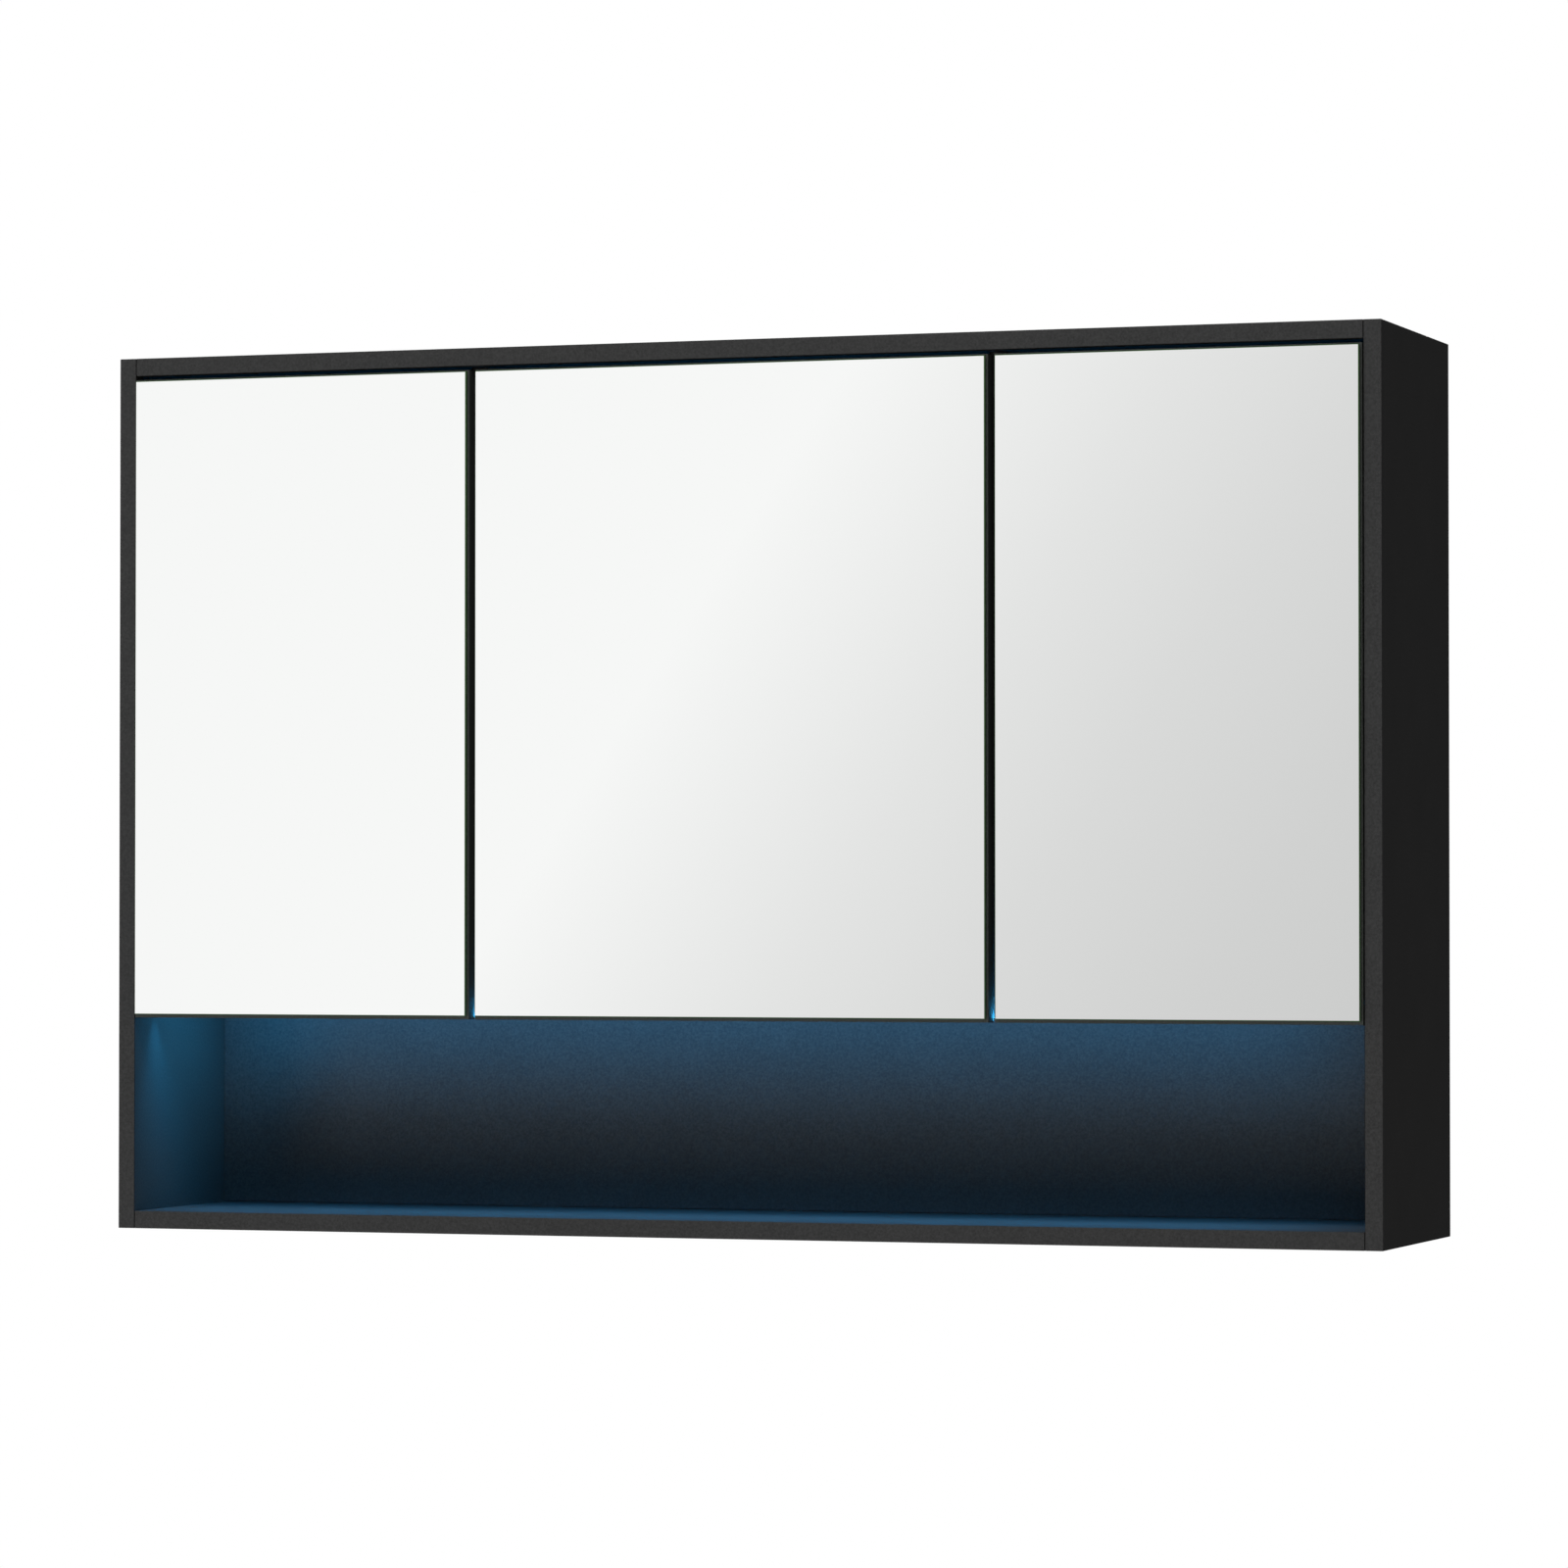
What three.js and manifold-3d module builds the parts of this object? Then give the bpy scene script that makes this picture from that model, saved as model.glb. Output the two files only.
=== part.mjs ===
// Wall-hung three-door mirror cabinet with an open, lit niche below the doors.
// Millimetres, +Z up. The front faces -Y. Inside the cabinet group, x = 0 is the middle,
// y = 0 is the front edge of the carcass (y grows towards the wall) and z = 0 is the underside.
import * as THREE from 'three';
import { mergeVertices } from 'three/addons/utils/BufferGeometryUtils.js';
import Module from 'manifold-3d';

const wasm = await Module();
wasm.setup();

// ---------------------------------------------------------------- driving dimensions

// Carcass
const WIDTH = 1200;
const HEIGHT = 806;
const DEPTH = 256;
const BOARD = 16;
const BACK_BOARD = 8;
const FIT = 0.3; // gap between pieces that touch
const REAR_VOID = 48; // space behind the back panels for hangers, driver and wiring
const NICHE_HEIGHT = 201;

// Doors
const DOOR_BOARD = 16;
const GLASS = 5;
const DOOR_PROUD = 1; // door board in front of the carcass front
const GLASS_BOND = 0.3; // adhesive line between door board and mirror
const DOOR_SPLIT = 247; // from the middle to each line between two doors
const DOOR_TO_DOOR = 6;
const DOOR_TO_SIDE = 1;
const DOOR_TO_TOP = 4;
const DOOR_TO_SHELF = 3; // room for the door buffers, in front of the fixed shelf and the partitions
const DOOR_DROP = 22; // the doors hang this far below the fixed shelf's underside, as a finger grip
const GLASS_MARGIN = 1.5;
const GLASS_MARGIN_BOTTOM = 3;

// Hinges, measured from the door's hinge-side edge (x) and from the door board's back (y)
const HINGE_FROM_END = 90;
const CUP_EDGE = 4; // door material between the edge and the cup
const CUP_RADIUS = 17.5;
const CUP_WALL = 1;
const CUP_DEPTH = 12.6;
const CUP_RIM = 0.9;
const FLANGE = [18, 1, 52]; // width, thickness and height of the cup's screw flange
const LUG_GAP = 14; // between the cup's two lugs
const LUG_THICKNESS = 1.6;
const LUG_EDGE = 3.5; // lug material beside the pin's centre
const CUP_PIVOT = [11, -4.5];
const ARM_PIVOT = [36.5, 8.5];
const LINK_BEND = [20.8, -18.6];
const LINK_THICKNESS = 1.6;
const LINK_WIDTH = 9.6;
const LINK_EYE = 2.4;
const LINK_STEPS = 14;
const PIN_RADIUS = 1.5;
const PIN_CLEARANCE = 0.15;
const SIDE_PLAY = 0.4; // between the link's sides and the arm's cheeks
const ARM_WIDTH = 13;
const ARM_HEIGHT = 9.2;
const ARM_STEEL = 1.3;
const ARM_RISE = 14.5; // arm centre line above the face that the mounting plate is screwed to
const ARM_CRANK = 14; // from the pivot back to where the arm turns straight
const ARM_LENGTH = 60;
const PLATE_THICKNESS = 3;
const PLATE_START = 22; // from the arm's pivot back to the riser
const PLATE_SPINE = 16;
const PLATE_WINGS = [16, 48]; // length and height of the screwed wings

// Glass shelves
const SHELF_GLASS = 5;
const SHELF_SIDE_GAP = 2;
const SHELF_RECESS = 16; // glass shelves stand this far behind the partitions' front edges
const SHELF_BACK_GAP = 5;
const SHELVES_PER_BAY = 2;

// Light under the fixed shelf
const LIGHT_TO_LEFT = 6; // from the left side panel to the light's end
const LIGHT_TO_RIGHT = 64; // leaves room for the switch
const LIGHT_RECESS = 6; // the light stands this far behind the fixed shelf's front edge
const CHANNEL_WIDTH = 18; // its open side, which faces the niche's back
const CHANNEL_DEPTH = 9;
const CHANNEL_WALL = 1.2;
const DIFFUSER = 1.4;
const STRIP_WIDTH = 10;
const STRIP_THICKNESS = 1.4;
const STRIP_INSET = 4;
const END_CAP = 1.6;

// Switch
const SWITCH_LENGTH = 40;
const SWITCH_DEPTH = 18;
const SWITCH_HEIGHT = 13;
const SWITCH_WALL = 1.8;
const ROCKER_LENGTH = 22;
const ROCKER_WIDTH = 11;
const ROCKER_CROWN = 3.9; // from the rocker's axis down to the middle of its face
const ROCKER_RISE = 1.5; // the face's two ends stand this much lower than its middle
const ROCKER_PIVOT_DEPTH = 5;
const ROCKER_CLEARANCE = 0.5;
const ROCKER_END_CLEARANCE = 1.2;
const ROCKER_TILT = 7; // degrees from level, as the rocker rests when it is switched on

// Driver, lead and gland
const DRIVER = [150, 26, 44];
const DRIVER_TO_SIDE = 104;
const DRIVER_BOTTOM = 78;
const DRIVER_FEET = [12, 18, 3]; // length, height and thickness of each screw foot
const ENTRY_BELOW_TOP = 9; // the lead's entry, below the driver's top
const GLAND_ABOVE_BOTTOM = 13;
const LEAD_RADIUS = 2;
const LEAD_BEND = 12;
const GLAND_RADIUS = 8;
const GLAND_LENGTH = 18;
const GLAND_NUT = 7;
const GLAND_BORE = 3.2;
const GLAND_FLOOR = 4;

// Hanging hardware
const HANGER_HEIGHT = 62;
const HANGER_WIDTH = 22;
const HANGER_DEPTH = 28;
const HOOK_BELOW_TOP = 6;
const HOOK_STEEL = 2.5;
const HOOK_DROP = 16;
const HOOK_CLEARANCE = 1;
const WALL_PLATE = 2;
const WALL_PLATE_WIDTH = 60;
const WALL_PLATE_HEIGHT = 66;
const WALL_PLATE_TO_SIDE = 4;

// ---------------------------------------------------------------- derived places

const sideInner = WIDTH / 2 - BOARD;
const shelfUnderside = BOARD + NICHE_HEIGHT;
const shelfTop = shelfUnderside + BOARD;
const topUnderside = HEIGHT - BOARD;
const backFront = DEPTH - REAR_VOID - BACK_BOARD;
const doorBack = DOOR_BOARD - DOOR_PROUD;
const shelfFront = doorBack + DOOR_TO_SHELF;
const cupCentre = CUP_EDGE + CUP_RADIUS;
const doorBottom = shelfUnderside - DOOR_DROP;
const doorTop = topUnderside - DOOR_TO_TOP;
const partitionHalf = BOARD / 2;
const glassFront = -(DOOR_PROUD + GLASS_BOND + GLASS);
const hingeHeights = { bottom: doorBottom + HINGE_FROM_END, top: doorTop - HINGE_FROM_END };

// Each door: its name, its two edges, and the place of the face its hinges are screwed to
const doors = [
  { name: 'left', hingeEdge: -(sideInner - DOOR_TO_SIDE), freeEdge: -(DOOR_SPLIT + DOOR_TO_DOOR / 2),
    mountFace: -sideInner },
  { name: 'middle', hingeEdge: -(DOOR_SPLIT - DOOR_TO_DOOR / 2), freeEdge: DOOR_SPLIT - DOOR_TO_DOOR / 2,
    mountFace: -(DOOR_SPLIT - partitionHalf) },
  { name: 'right', hingeEdge: sideInner - DOOR_TO_SIDE, freeEdge: DOOR_SPLIT + DOOR_TO_DOOR / 2,
    mountFace: sideInner },
];

// ---------------------------------------------------------------- materials

function finish(name, color, roughness, metalness = 0, extra = {}) {
  return new THREE.MeshStandardMaterial({ name, color, roughness, metalness, ...extra });
}

const graphite = finish('graphite_board', 0x3a3a3a, 0.75);
const silvered = finish('mirror_glass', 0xe9ecec, 0.03, 1);
const clearGlass = finish('shelf_glass', 0xcfe3dc, 0.05, 0, { transparent: true, opacity: 0.4 });
const nickel = finish('hinge_steel', 0xb9bbbd, 0.3, 1);
const zinc = finish('zinc_steel', 0xa7abae, 0.45, 1);
const aluminium = finish('led_aluminium', 0xc4c6c8, 0.35, 1);
const opal = finish('led_diffuser', 0x9fd8ff, 0.5);
const circuit = finish('led_circuit', 0xf2f2ee, 0.6);
const whitePlastic = finish('driver_plastic', 0xe6e6e3, 0.5);
const blackPlastic = finish('black_plastic', 0x1b1c1d, 0.5);

// ---------------------------------------------------------------- solids and helpers

function toSolid(geometry) {
  const bare = geometry.clone();
  bare.deleteAttribute('normal');
  bare.deleteAttribute('uv');
  const merged = mergeVertices(bare, 1e-4);
  return new wasm.Manifold(new wasm.Mesh({
    numProp: 3,
    vertProperties: new Float32Array(merged.attributes.position.array),
    triVerts: new Uint32Array(merged.index.array),
  }));
}

function toGeometry(solid) {
  const mesh = solid.getMesh();
  const geometry = new THREE.BufferGeometry();
  geometry.setAttribute('position', new THREE.BufferAttribute(mesh.vertProperties, 3));
  geometry.setIndex(new THREE.BufferAttribute(mesh.triVerts, 1));
  geometry.computeVertexNormals();
  return geometry;
}

function join(...geometries) {
  const [first, ...rest] = geometries.map(toSolid);
  return toGeometry(rest.reduce((sum, solid) => sum.add(solid), first));
}

function cut(geometry, ...tools) {
  return toGeometry(tools.map(toSolid).reduce((left, tool) => left.subtract(tool), toSolid(geometry)));
}

// A box between two corners
function slab([x0, y0, z0], [x1, y1, z1]) {
  const box = new THREE.BoxGeometry(x1 - x0, y1 - y0, z1 - z0);
  return box.translate((x0 + x1) / 2, (y0 + y1) / 2, (z0 + z1) / 2);
}

// A cylinder along one axis, centred on a point
function rod(axis, radius, length, [x, y, z], sides = 20) {
  const cylinder = new THREE.CylinderGeometry(radius, radius, length, sides);
  if (axis === 'x') cylinder.rotateZ(Math.PI / 2);
  if (axis === 'z') cylinder.rotateX(Math.PI / 2);
  return cylinder.translate(x, y, z);
}

// An outline in the XY plane, given thickness along Z and centred on z = 0
function plateXY(outline, thickness) {
  const shape = new THREE.Shape(outline.map(([x, y]) => new THREE.Vector2(x, y)));
  const geometry = new THREE.ExtrudeGeometry(shape, { depth: thickness, bevelEnabled: false });
  return geometry.translate(0, 0, -thickness / 2);
}

// A profile in the YZ plane, run along X from x0 to x1
function runX(profile, x0, x1) {
  const shape = new THREE.Shape(profile.map(([y, z]) => new THREE.Vector2(y, z)));
  const geometry = new THREE.ExtrudeGeometry(shape, { depth: x1 - x0, bevelEnabled: false });
  // local x, y, z become the cabinet's y, z, x
  geometry.applyMatrix4(new THREE.Matrix4().set(0, 0, 1, x0, 1, 0, 0, 0, 0, 1, 0, 0, 0, 0, 0, 1));
  return geometry;
}

// The points of a path moved sideways by a distance, mitred at the corners (left is positive)
function offsetPath(points, distance) {
  return points.map((point, i) => {
    const before = points[Math.max(i - 1, 0)];
    const here = i === 0 ? points[1] : point;
    const next = points[Math.min(i + 1, points.length - 1)];
    const last = i === points.length - 1 ? points[i - 1] : point;
    const a = new THREE.Vector2(here[0] - (i === 0 ? point[0] : before[0]),
      here[1] - (i === 0 ? point[1] : before[1])).normalize();
    const b = new THREE.Vector2(next[0] - last[0], next[1] - last[1]).normalize();
    const normal = new THREE.Vector2(-(a.y + b.y), a.x + b.x).normalize();
    const spread = Math.max(normal.x * -a.y + normal.y * a.x, 0.5);
    return [point[0] + (normal.x * distance) / spread, point[1] + (normal.y * distance) / spread];
  });
}

// The band between two sideways offsets of a path, as an outline
function band(points, from, to) {
  return [...offsetPath(points, from), ...offsetPath(points, to).reverse()];
}

const cabinet = new THREE.Group();
cabinet.position.y = -(DEPTH + glassFront) / 2;

function add(name, geometry, material, parent = cabinet) {
  const mesh = new THREE.Mesh(geometry, material);
  mesh.name = name;
  parent.add(mesh);
  return mesh;
}

// ---------------------------------------------------------------- carcass

function addCarcass() {
  const inner = sideInner - FIT;
  add('side_panel_left', slab([-WIDTH / 2, 0, 0], [-sideInner, DEPTH, HEIGHT]), graphite);
  add('side_panel_right', slab([sideInner, 0, 0], [WIDTH / 2, DEPTH, HEIGHT]), graphite);
  add('bottom_panel', slab([-inner, 0, 0], [inner, DEPTH, BOARD]), graphite);
  add('top_panel', slab([-inner, 0, topUnderside], [inner, DEPTH, HEIGHT]), graphite);
  add('fixed_shelf', slab([-inner, shelfFront, shelfUnderside], [inner, DEPTH, shelfTop]), graphite);
  for (const [name, x] of [['partition_left', -DOOR_SPLIT], ['partition_right', DOOR_SPLIT]]) {
    add(name, slab(
      [x - partitionHalf, shelfFront, shelfTop + FIT],
      [x + partitionHalf, backFront - FIT, topUnderside - FIT],
    ), graphite);
  }
  add('upper_back_panel', slab(
    [-inner, backFront, shelfTop + FIT], [inner, backFront + BACK_BOARD, topUnderside - FIT],
  ), graphite);
  const nicheBack = slab(
    [-inner, backFront, BOARD + FIT], [inner, backFront + BACK_BOARD, shelfUnderside - FIT],
  );
  const notchHalf = LEAD_RADIUS + 2;
  const notch = slab(
    [leadX - notchHalf, backFront - 1, leadZ - notchHalf],
    [leadX + notchHalf, backFront + BACK_BOARD + 1, shelfUnderside + 1],
  );
  add('niche_back_panel', cut(nicheBack, notch), graphite);
}

// ---------------------------------------------------------------- glass shelves

function addShelves() {
  const bays = [
    ['left', -sideInner, -(DOOR_SPLIT + partitionHalf)],
    ['middle', -(DOOR_SPLIT - partitionHalf), DOOR_SPLIT - partitionHalf],
    ['right', DOOR_SPLIT + partitionHalf, sideInner],
  ];
  const pitch = (topUnderside - shelfTop) / (SHELVES_PER_BAY + 1);
  for (const [bay, x0, x1] of bays) {
    for (let i = 1; i <= SHELVES_PER_BAY; i += 1) {
      const z = shelfTop + pitch * i;
      add(`glass_shelf_${bay}_${i}`, slab(
        [x0 + SHELF_SIDE_GAP, shelfFront + SHELF_RECESS, z - SHELF_GLASS],
        [x1 - SHELF_SIDE_GAP, backFront - SHELF_BACK_GAP, z],
      ), clearGlass);
    }
  }
}

// ---------------------------------------------------------------- doors and hinges

function addDoor({ name, hingeEdge, freeEdge }) {
  const x0 = Math.min(hingeEdge, freeEdge);
  const x1 = Math.max(hingeEdge, freeEdge);
  const inward = Math.sign(freeEdge - hingeEdge);
  const boreRadius = CUP_RADIUS + FIT;
  const boreDepth = CUP_DEPTH + FIT;
  const bores = Object.values(hingeHeights).map((z) => rod(
    'y', boreRadius, boreDepth + 1, [hingeEdge + inward * cupCentre, doorBack + (1 - boreDepth) / 2, z], 32,
  ));
  const board = slab([x0, -DOOR_PROUD, doorBottom], [x1, doorBack, doorTop]);
  add(`door_board_${name}`, cut(board, ...bores), graphite);
  add(`mirror_${name}`, slab(
    [x0 + GLASS_MARGIN, glassFront, doorBottom + GLASS_MARGIN_BOTTOM],
    [x1 - GLASS_MARGIN, glassFront + GLASS, doorTop - GLASS_MARGIN],
  ), silvered);
}

// The hinge is drawn once with the door's edge at x = 0 and the cabinet's inside towards +x.
// It is the same above and below z = 0, so half a turn about Y makes the right-hand one.
const cupPivot = [CUP_PIVOT[0], doorBack + CUP_PIVOT[1]];
const armPivot = [ARM_PIVOT[0], doorBack + ARM_PIVOT[1]];
const linkBend = [LINK_BEND[0], doorBack + LINK_BEND[1]];

// Pressed cup with a screw flange above and below, and two lugs that hold the link's pin
function cupGeometry() {
  const [flangeWidth, flangeThickness, flangeHeight] = FLANGE;
  const floor = doorBack - CUP_DEPTH;
  const rim = doorBack + CUP_RIM;
  const pocketFloor = floor + CUP_WALL;
  const pocketDepth = 2 * CUP_DEPTH;
  const shell = rod('y', CUP_RADIUS, rim - floor, [cupCentre, (rim + floor) / 2, 0], 32);
  const flange = slab(
    [cupCentre - flangeWidth / 2, doorBack + FIT, -flangeHeight / 2],
    [cupCentre + flangeWidth / 2, doorBack + FIT + flangeThickness, flangeHeight / 2],
  );
  const pocket = rod(
    'y', CUP_RADIUS - CUP_WALL, pocketDepth, [cupCentre, pocketFloor + pocketDepth / 2, 0], 32,
  );
  const cup = cut(join(shell, flange), pocket);
  const lugs = [1, -1].map((side) => {
    const z0 = (side * LUG_GAP) / 2;
    const z1 = side * (LUG_GAP / 2 + LUG_THICKNESS);
    return slab(
      [cupPivot[0] - LUG_EDGE, pocketFloor - CUP_WALL / 2, Math.min(z0, z1)],
      [cupPivot[0] + LUG_EDGE, cupPivot[1] + LUG_EDGE, Math.max(z0, z1)],
    );
  });
  const hole = rod('z', PIN_RADIUS + PIN_CLEARANCE, LUG_GAP + 4 * LUG_THICKNESS, [...cupPivot, 0]);
  return cut(join(cup, ...lugs), hole);
}

// Curved link with an eye and a riveted pin at each end
function linkGeometry() {
  const curve = new THREE.QuadraticBezierCurve(
    new THREE.Vector2(...cupPivot), new THREE.Vector2(...linkBend), new THREE.Vector2(...armPivot),
  );
  const path = curve.getSpacedPoints(LINK_STEPS).map((p) => [p.x, p.y]);
  const half = LINK_THICKNESS / 2;
  return join(
    plateXY(band(path, -half, half), LINK_WIDTH),
    rod('z', LINK_EYE, LINK_WIDTH, [...cupPivot, 0]),
    rod('z', LINK_EYE, LINK_WIDTH, [...armPivot, 0]),
    rod('z', PIN_RADIUS, LUG_GAP + 2 * LUG_THICKNESS - SIDE_PLAY, [...cupPivot, 0]),
    rod('z', PIN_RADIUS, ARM_WIDTH - SIDE_PLAY, [...armPivot, 0]),
  );
}

// Channel-shaped arm: a cranked nose that holds the link's pin, then a straight tail
function armGeometry(mountX) {
  const lineX = mountX + ARM_RISE;
  const crankEnd = [lineX, armPivot[1] + ARM_CRANK];
  const tailEnd = [lineX, armPivot[1] + ARM_LENGTH];
  const half = ARM_HEIGHT / 2;
  const slot = LINK_WIDTH + 2 * SIDE_PLAY;
  const blank = join(
    plateXY(band([armPivot, crankEnd, tailEnd], -half, half), ARM_WIDTH),
    rod('z', half, ARM_WIDTH, [...armPivot, 0]),
  );
  const pastTail = [lineX, tailEnd[1] + 1];
  const channel = plateXY(band([armPivot, crankEnd, pastTail], -half + ARM_STEEL, half + 2), slot);
  const nose = rod('z', half + 0.6, slot, [...armPivot, 0]);
  const hole = rod('z', PIN_RADIUS + PIN_CLEARANCE, ARM_WIDTH + 1, [...armPivot, 0]);
  return cut(blank, channel, nose, hole);
}

// Cross-shaped plate with the riser that the arm's tail slides over
function plateGeometry(mountX) {
  const [wingLength, wingHeight] = PLATE_WINGS;
  const face = mountX + FIT;
  const back = face + PLATE_THICKNESS;
  const y0 = armPivot[1] + PLATE_START;
  const y1 = armPivot[1] + ARM_LENGTH;
  const middle = (y0 + y1) / 2;
  const top = mountX + ARM_RISE + ARM_HEIGHT / 2 - ARM_STEEL - FIT;
  return join(
    slab([face, y0 + 2, -LINK_WIDTH / 2], [top, y1 - 2, LINK_WIDTH / 2]),
    slab([face, y0, -PLATE_SPINE / 2], [back, y1, PLATE_SPINE / 2]),
    slab([face, middle - wingLength / 2, -wingHeight / 2], [back, middle + wingLength / 2, wingHeight / 2]),
  );
}

function addHinges({ name, hingeEdge, freeEdge, mountFace }) {
  const inward = Math.sign(freeEdge - hingeEdge);
  const mountX = (mountFace - hingeEdge) * inward;
  for (const [end, z] of Object.entries(hingeHeights)) {
    const hinge = new THREE.Group();
    hinge.position.set(hingeEdge, 0, z);
    hinge.rotation.y = inward > 0 ? 0 : Math.PI;
    add(`hinge_cup_${name}_${end}`, cupGeometry(), nickel, hinge);
    add(`hinge_link_${name}_${end}`, linkGeometry(), nickel, hinge);
    add(`hinge_arm_${name}_${end}`, armGeometry(mountX), nickel, hinge);
    add(`mounting_plate_${name}_${end}`, plateGeometry(mountX), nickel, hinge);
    cabinet.add(hinge);
  }
}

// ---------------------------------------------------------------- light, switch and wiring

const channelTop = shelfUnderside - FIT;
const channelBottom = channelTop - CHANNEL_WIDTH;
const channelFront = shelfFront + LIGHT_RECESS;
const channelBack = channelFront + CHANNEL_DEPTH;
const lightLeft = LIGHT_TO_LEFT - sideInner;
const lightRight = sideInner - LIGHT_TO_RIGHT;
const switchStart = lightRight + END_CAP + 2 * FIT;
const switchMiddle = switchStart + SWITCH_LENGTH / 2;
const switchBottom = channelTop - SWITCH_HEIGHT;
const switchY = channelFront + SWITCH_DEPTH / 2;
const leadX = switchMiddle;
const leadZ = channelTop - LEAD_RADIUS;

function addLight() {
  const y0 = channelFront;
  const y1 = channelBack;
  const w = CHANNEL_WALL;
  const z0 = channelBottom;
  const z1 = channelTop;
  const channel = [
    [y0, z0], [y1, z0], [y1, z0 + w], [y0 + w, z0 + w], [y0 + w, z1 - w], [y1, z1 - w], [y1, z1], [y0, z1],
  ];
  add('led_channel', runX(channel, lightLeft, lightRight), aluminium);
  const stripFront = y0 + w + FIT;
  const stripMiddle = (z0 + z1) / 2;
  add('led_strip', slab(
    [lightLeft + STRIP_INSET, stripFront, stripMiddle - STRIP_WIDTH / 2],
    [lightRight - STRIP_INSET, stripFront + STRIP_THICKNESS, stripMiddle + STRIP_WIDTH / 2],
  ), circuit);
  const lensInset = w + FIT;
  add('led_diffuser', slab(
    [lightLeft, y1 - DIFFUSER, z0 + lensInset], [lightRight, y1, z1 - lensInset],
  ), opal);
  const ends = [['led_end_cap_left', lightLeft, -1], ['led_end_cap_right', lightRight, 1]];
  for (const [name, end, side] of ends) {
    const inner = end + side * FIT;
    const outer = end + side * (FIT + END_CAP);
    add(name, slab(
      [Math.min(inner, outer), y0, channelBottom], [Math.max(inner, outer), y1, channelTop],
    ), blackPlastic);
  }
}

// Switch box open at the bottom, with a rocker that tips about an axis along Y
function addSwitch() {
  const half = SWITCH_LENGTH / 2;
  const y0 = switchY - SWITCH_DEPTH / 2;
  const y1 = switchY + SWITCH_DEPTH / 2;
  const wellX = ROCKER_LENGTH / 2 + ROCKER_END_CLEARANCE;
  const wellY = ROCKER_WIDTH / 2 + ROCKER_CLEARANCE;
  const pivotZ = switchBottom + ROCKER_PIVOT_DEPTH;
  const box = slab([switchMiddle - half, y0, switchBottom], [switchMiddle + half, y1, channelTop]);
  const well = slab(
    [switchMiddle - wellX, switchY - wellY, switchBottom - 1],
    [switchMiddle + wellX, switchY + wellY, channelTop - SWITCH_WALL],
  );
  const pinHalf = wellY + SWITCH_WALL / 2;
  const socket = rod(
    'y', PIN_RADIUS + PIN_CLEARANCE, 2 * (pinHalf + FIT), [switchMiddle, switchY, pivotZ],
  );
  add('switch_housing', cut(box, well, socket), blackPlastic);

  const halfLength = ROCKER_LENGTH / 2;
  const low = -(ROCKER_CROWN + ROCKER_RISE);
  const corner = ROCKER_RISE / 2;
  const hub = PIN_RADIUS + 1.1;
  const outline = [
    [-halfLength, hub / 2], [-halfLength, low + corner], [-halfLength + ROCKER_RISE, low],
    [0, -ROCKER_CROWN], [halfLength - ROCKER_RISE, low], [halfLength, low + corner],
    [halfLength, hub / 2], [hub, hub], [-hub, hub],
  ];
  const cap = plateXY(outline.reverse(), ROCKER_WIDTH);
  cap.rotateX(Math.PI / 2);
  cap.rotateY(THREE.MathUtils.degToRad(ROCKER_TILT));
  cap.translate(switchMiddle, switchY, pivotZ);
  const pin = rod('y', PIN_RADIUS, 2 * pinHalf, [switchMiddle, switchY, pivotZ]);
  add('switch_rocker', join(cap, pin), blackPlastic);
}

function addWiring() {
  const [length, depth, height] = DRIVER;
  const behind = backFront + BACK_BOARD;
  const y0 = behind + FIT;
  const x1 = sideInner - DRIVER_TO_SIDE;
  const x0 = x1 - length;
  const z0 = DRIVER_BOTTOM;
  const body = slab([x0, y0, z0], [x1, y0 + depth, z0 + height]);
  const [footLength, footHeight, footThickness] = DRIVER_FEET;
  const middle = z0 + height / 2;
  const feet = slab(
    [x0 - footLength, y0, middle - footHeight / 2],
    [x1 + footLength, y0 + footThickness, middle + footHeight / 2],
  );
  add('led_driver', join(body, feet), whitePlastic);

  const entryY = y0 + depth / 2 + footThickness;
  const entryZ = z0 + height - ENTRY_BELOW_TOP;
  const glandZ = z0 + GLAND_ABOVE_BOTTOM;
  const glandEnd = x0 - FIT;
  const nut = new THREE.CylinderGeometry(GLAND_RADIUS, GLAND_RADIUS, GLAND_NUT, 6).rotateZ(Math.PI / 2);
  nut.translate(glandEnd - GLAND_NUT / 2, entryY, glandZ);
  const neck = rod('x', GLAND_RADIUS - 2, GLAND_LENGTH, [glandEnd - GLAND_LENGTH / 2, entryY, glandZ], 24);
  const boreMiddle = glandEnd - GLAND_FLOOR - GLAND_LENGTH / 2;
  const inlet = rod('x', GLAND_BORE, GLAND_LENGTH, [boreMiddle, entryY, glandZ], 16);
  add('cable_gland', cut(join(nut, neck), inlet), blackPlastic);

  // The low-voltage lead runs back under the shelf, down behind the niche and into the driver
  const start = new THREE.Vector3(leadX, switchY + SWITCH_DEPTH / 2 + FIT, leadZ);
  const backCorner = new THREE.Vector3(leadX, entryY, leadZ);
  const downCorner = new THREE.Vector3(leadX, entryY, entryZ);
  const end = new THREE.Vector3(x1 + FIT, entryY, entryZ);
  add('led_lead', tube([start, backCorner, downCorner, end], LEAD_RADIUS, LEAD_BEND), blackPlastic);
}

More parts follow.
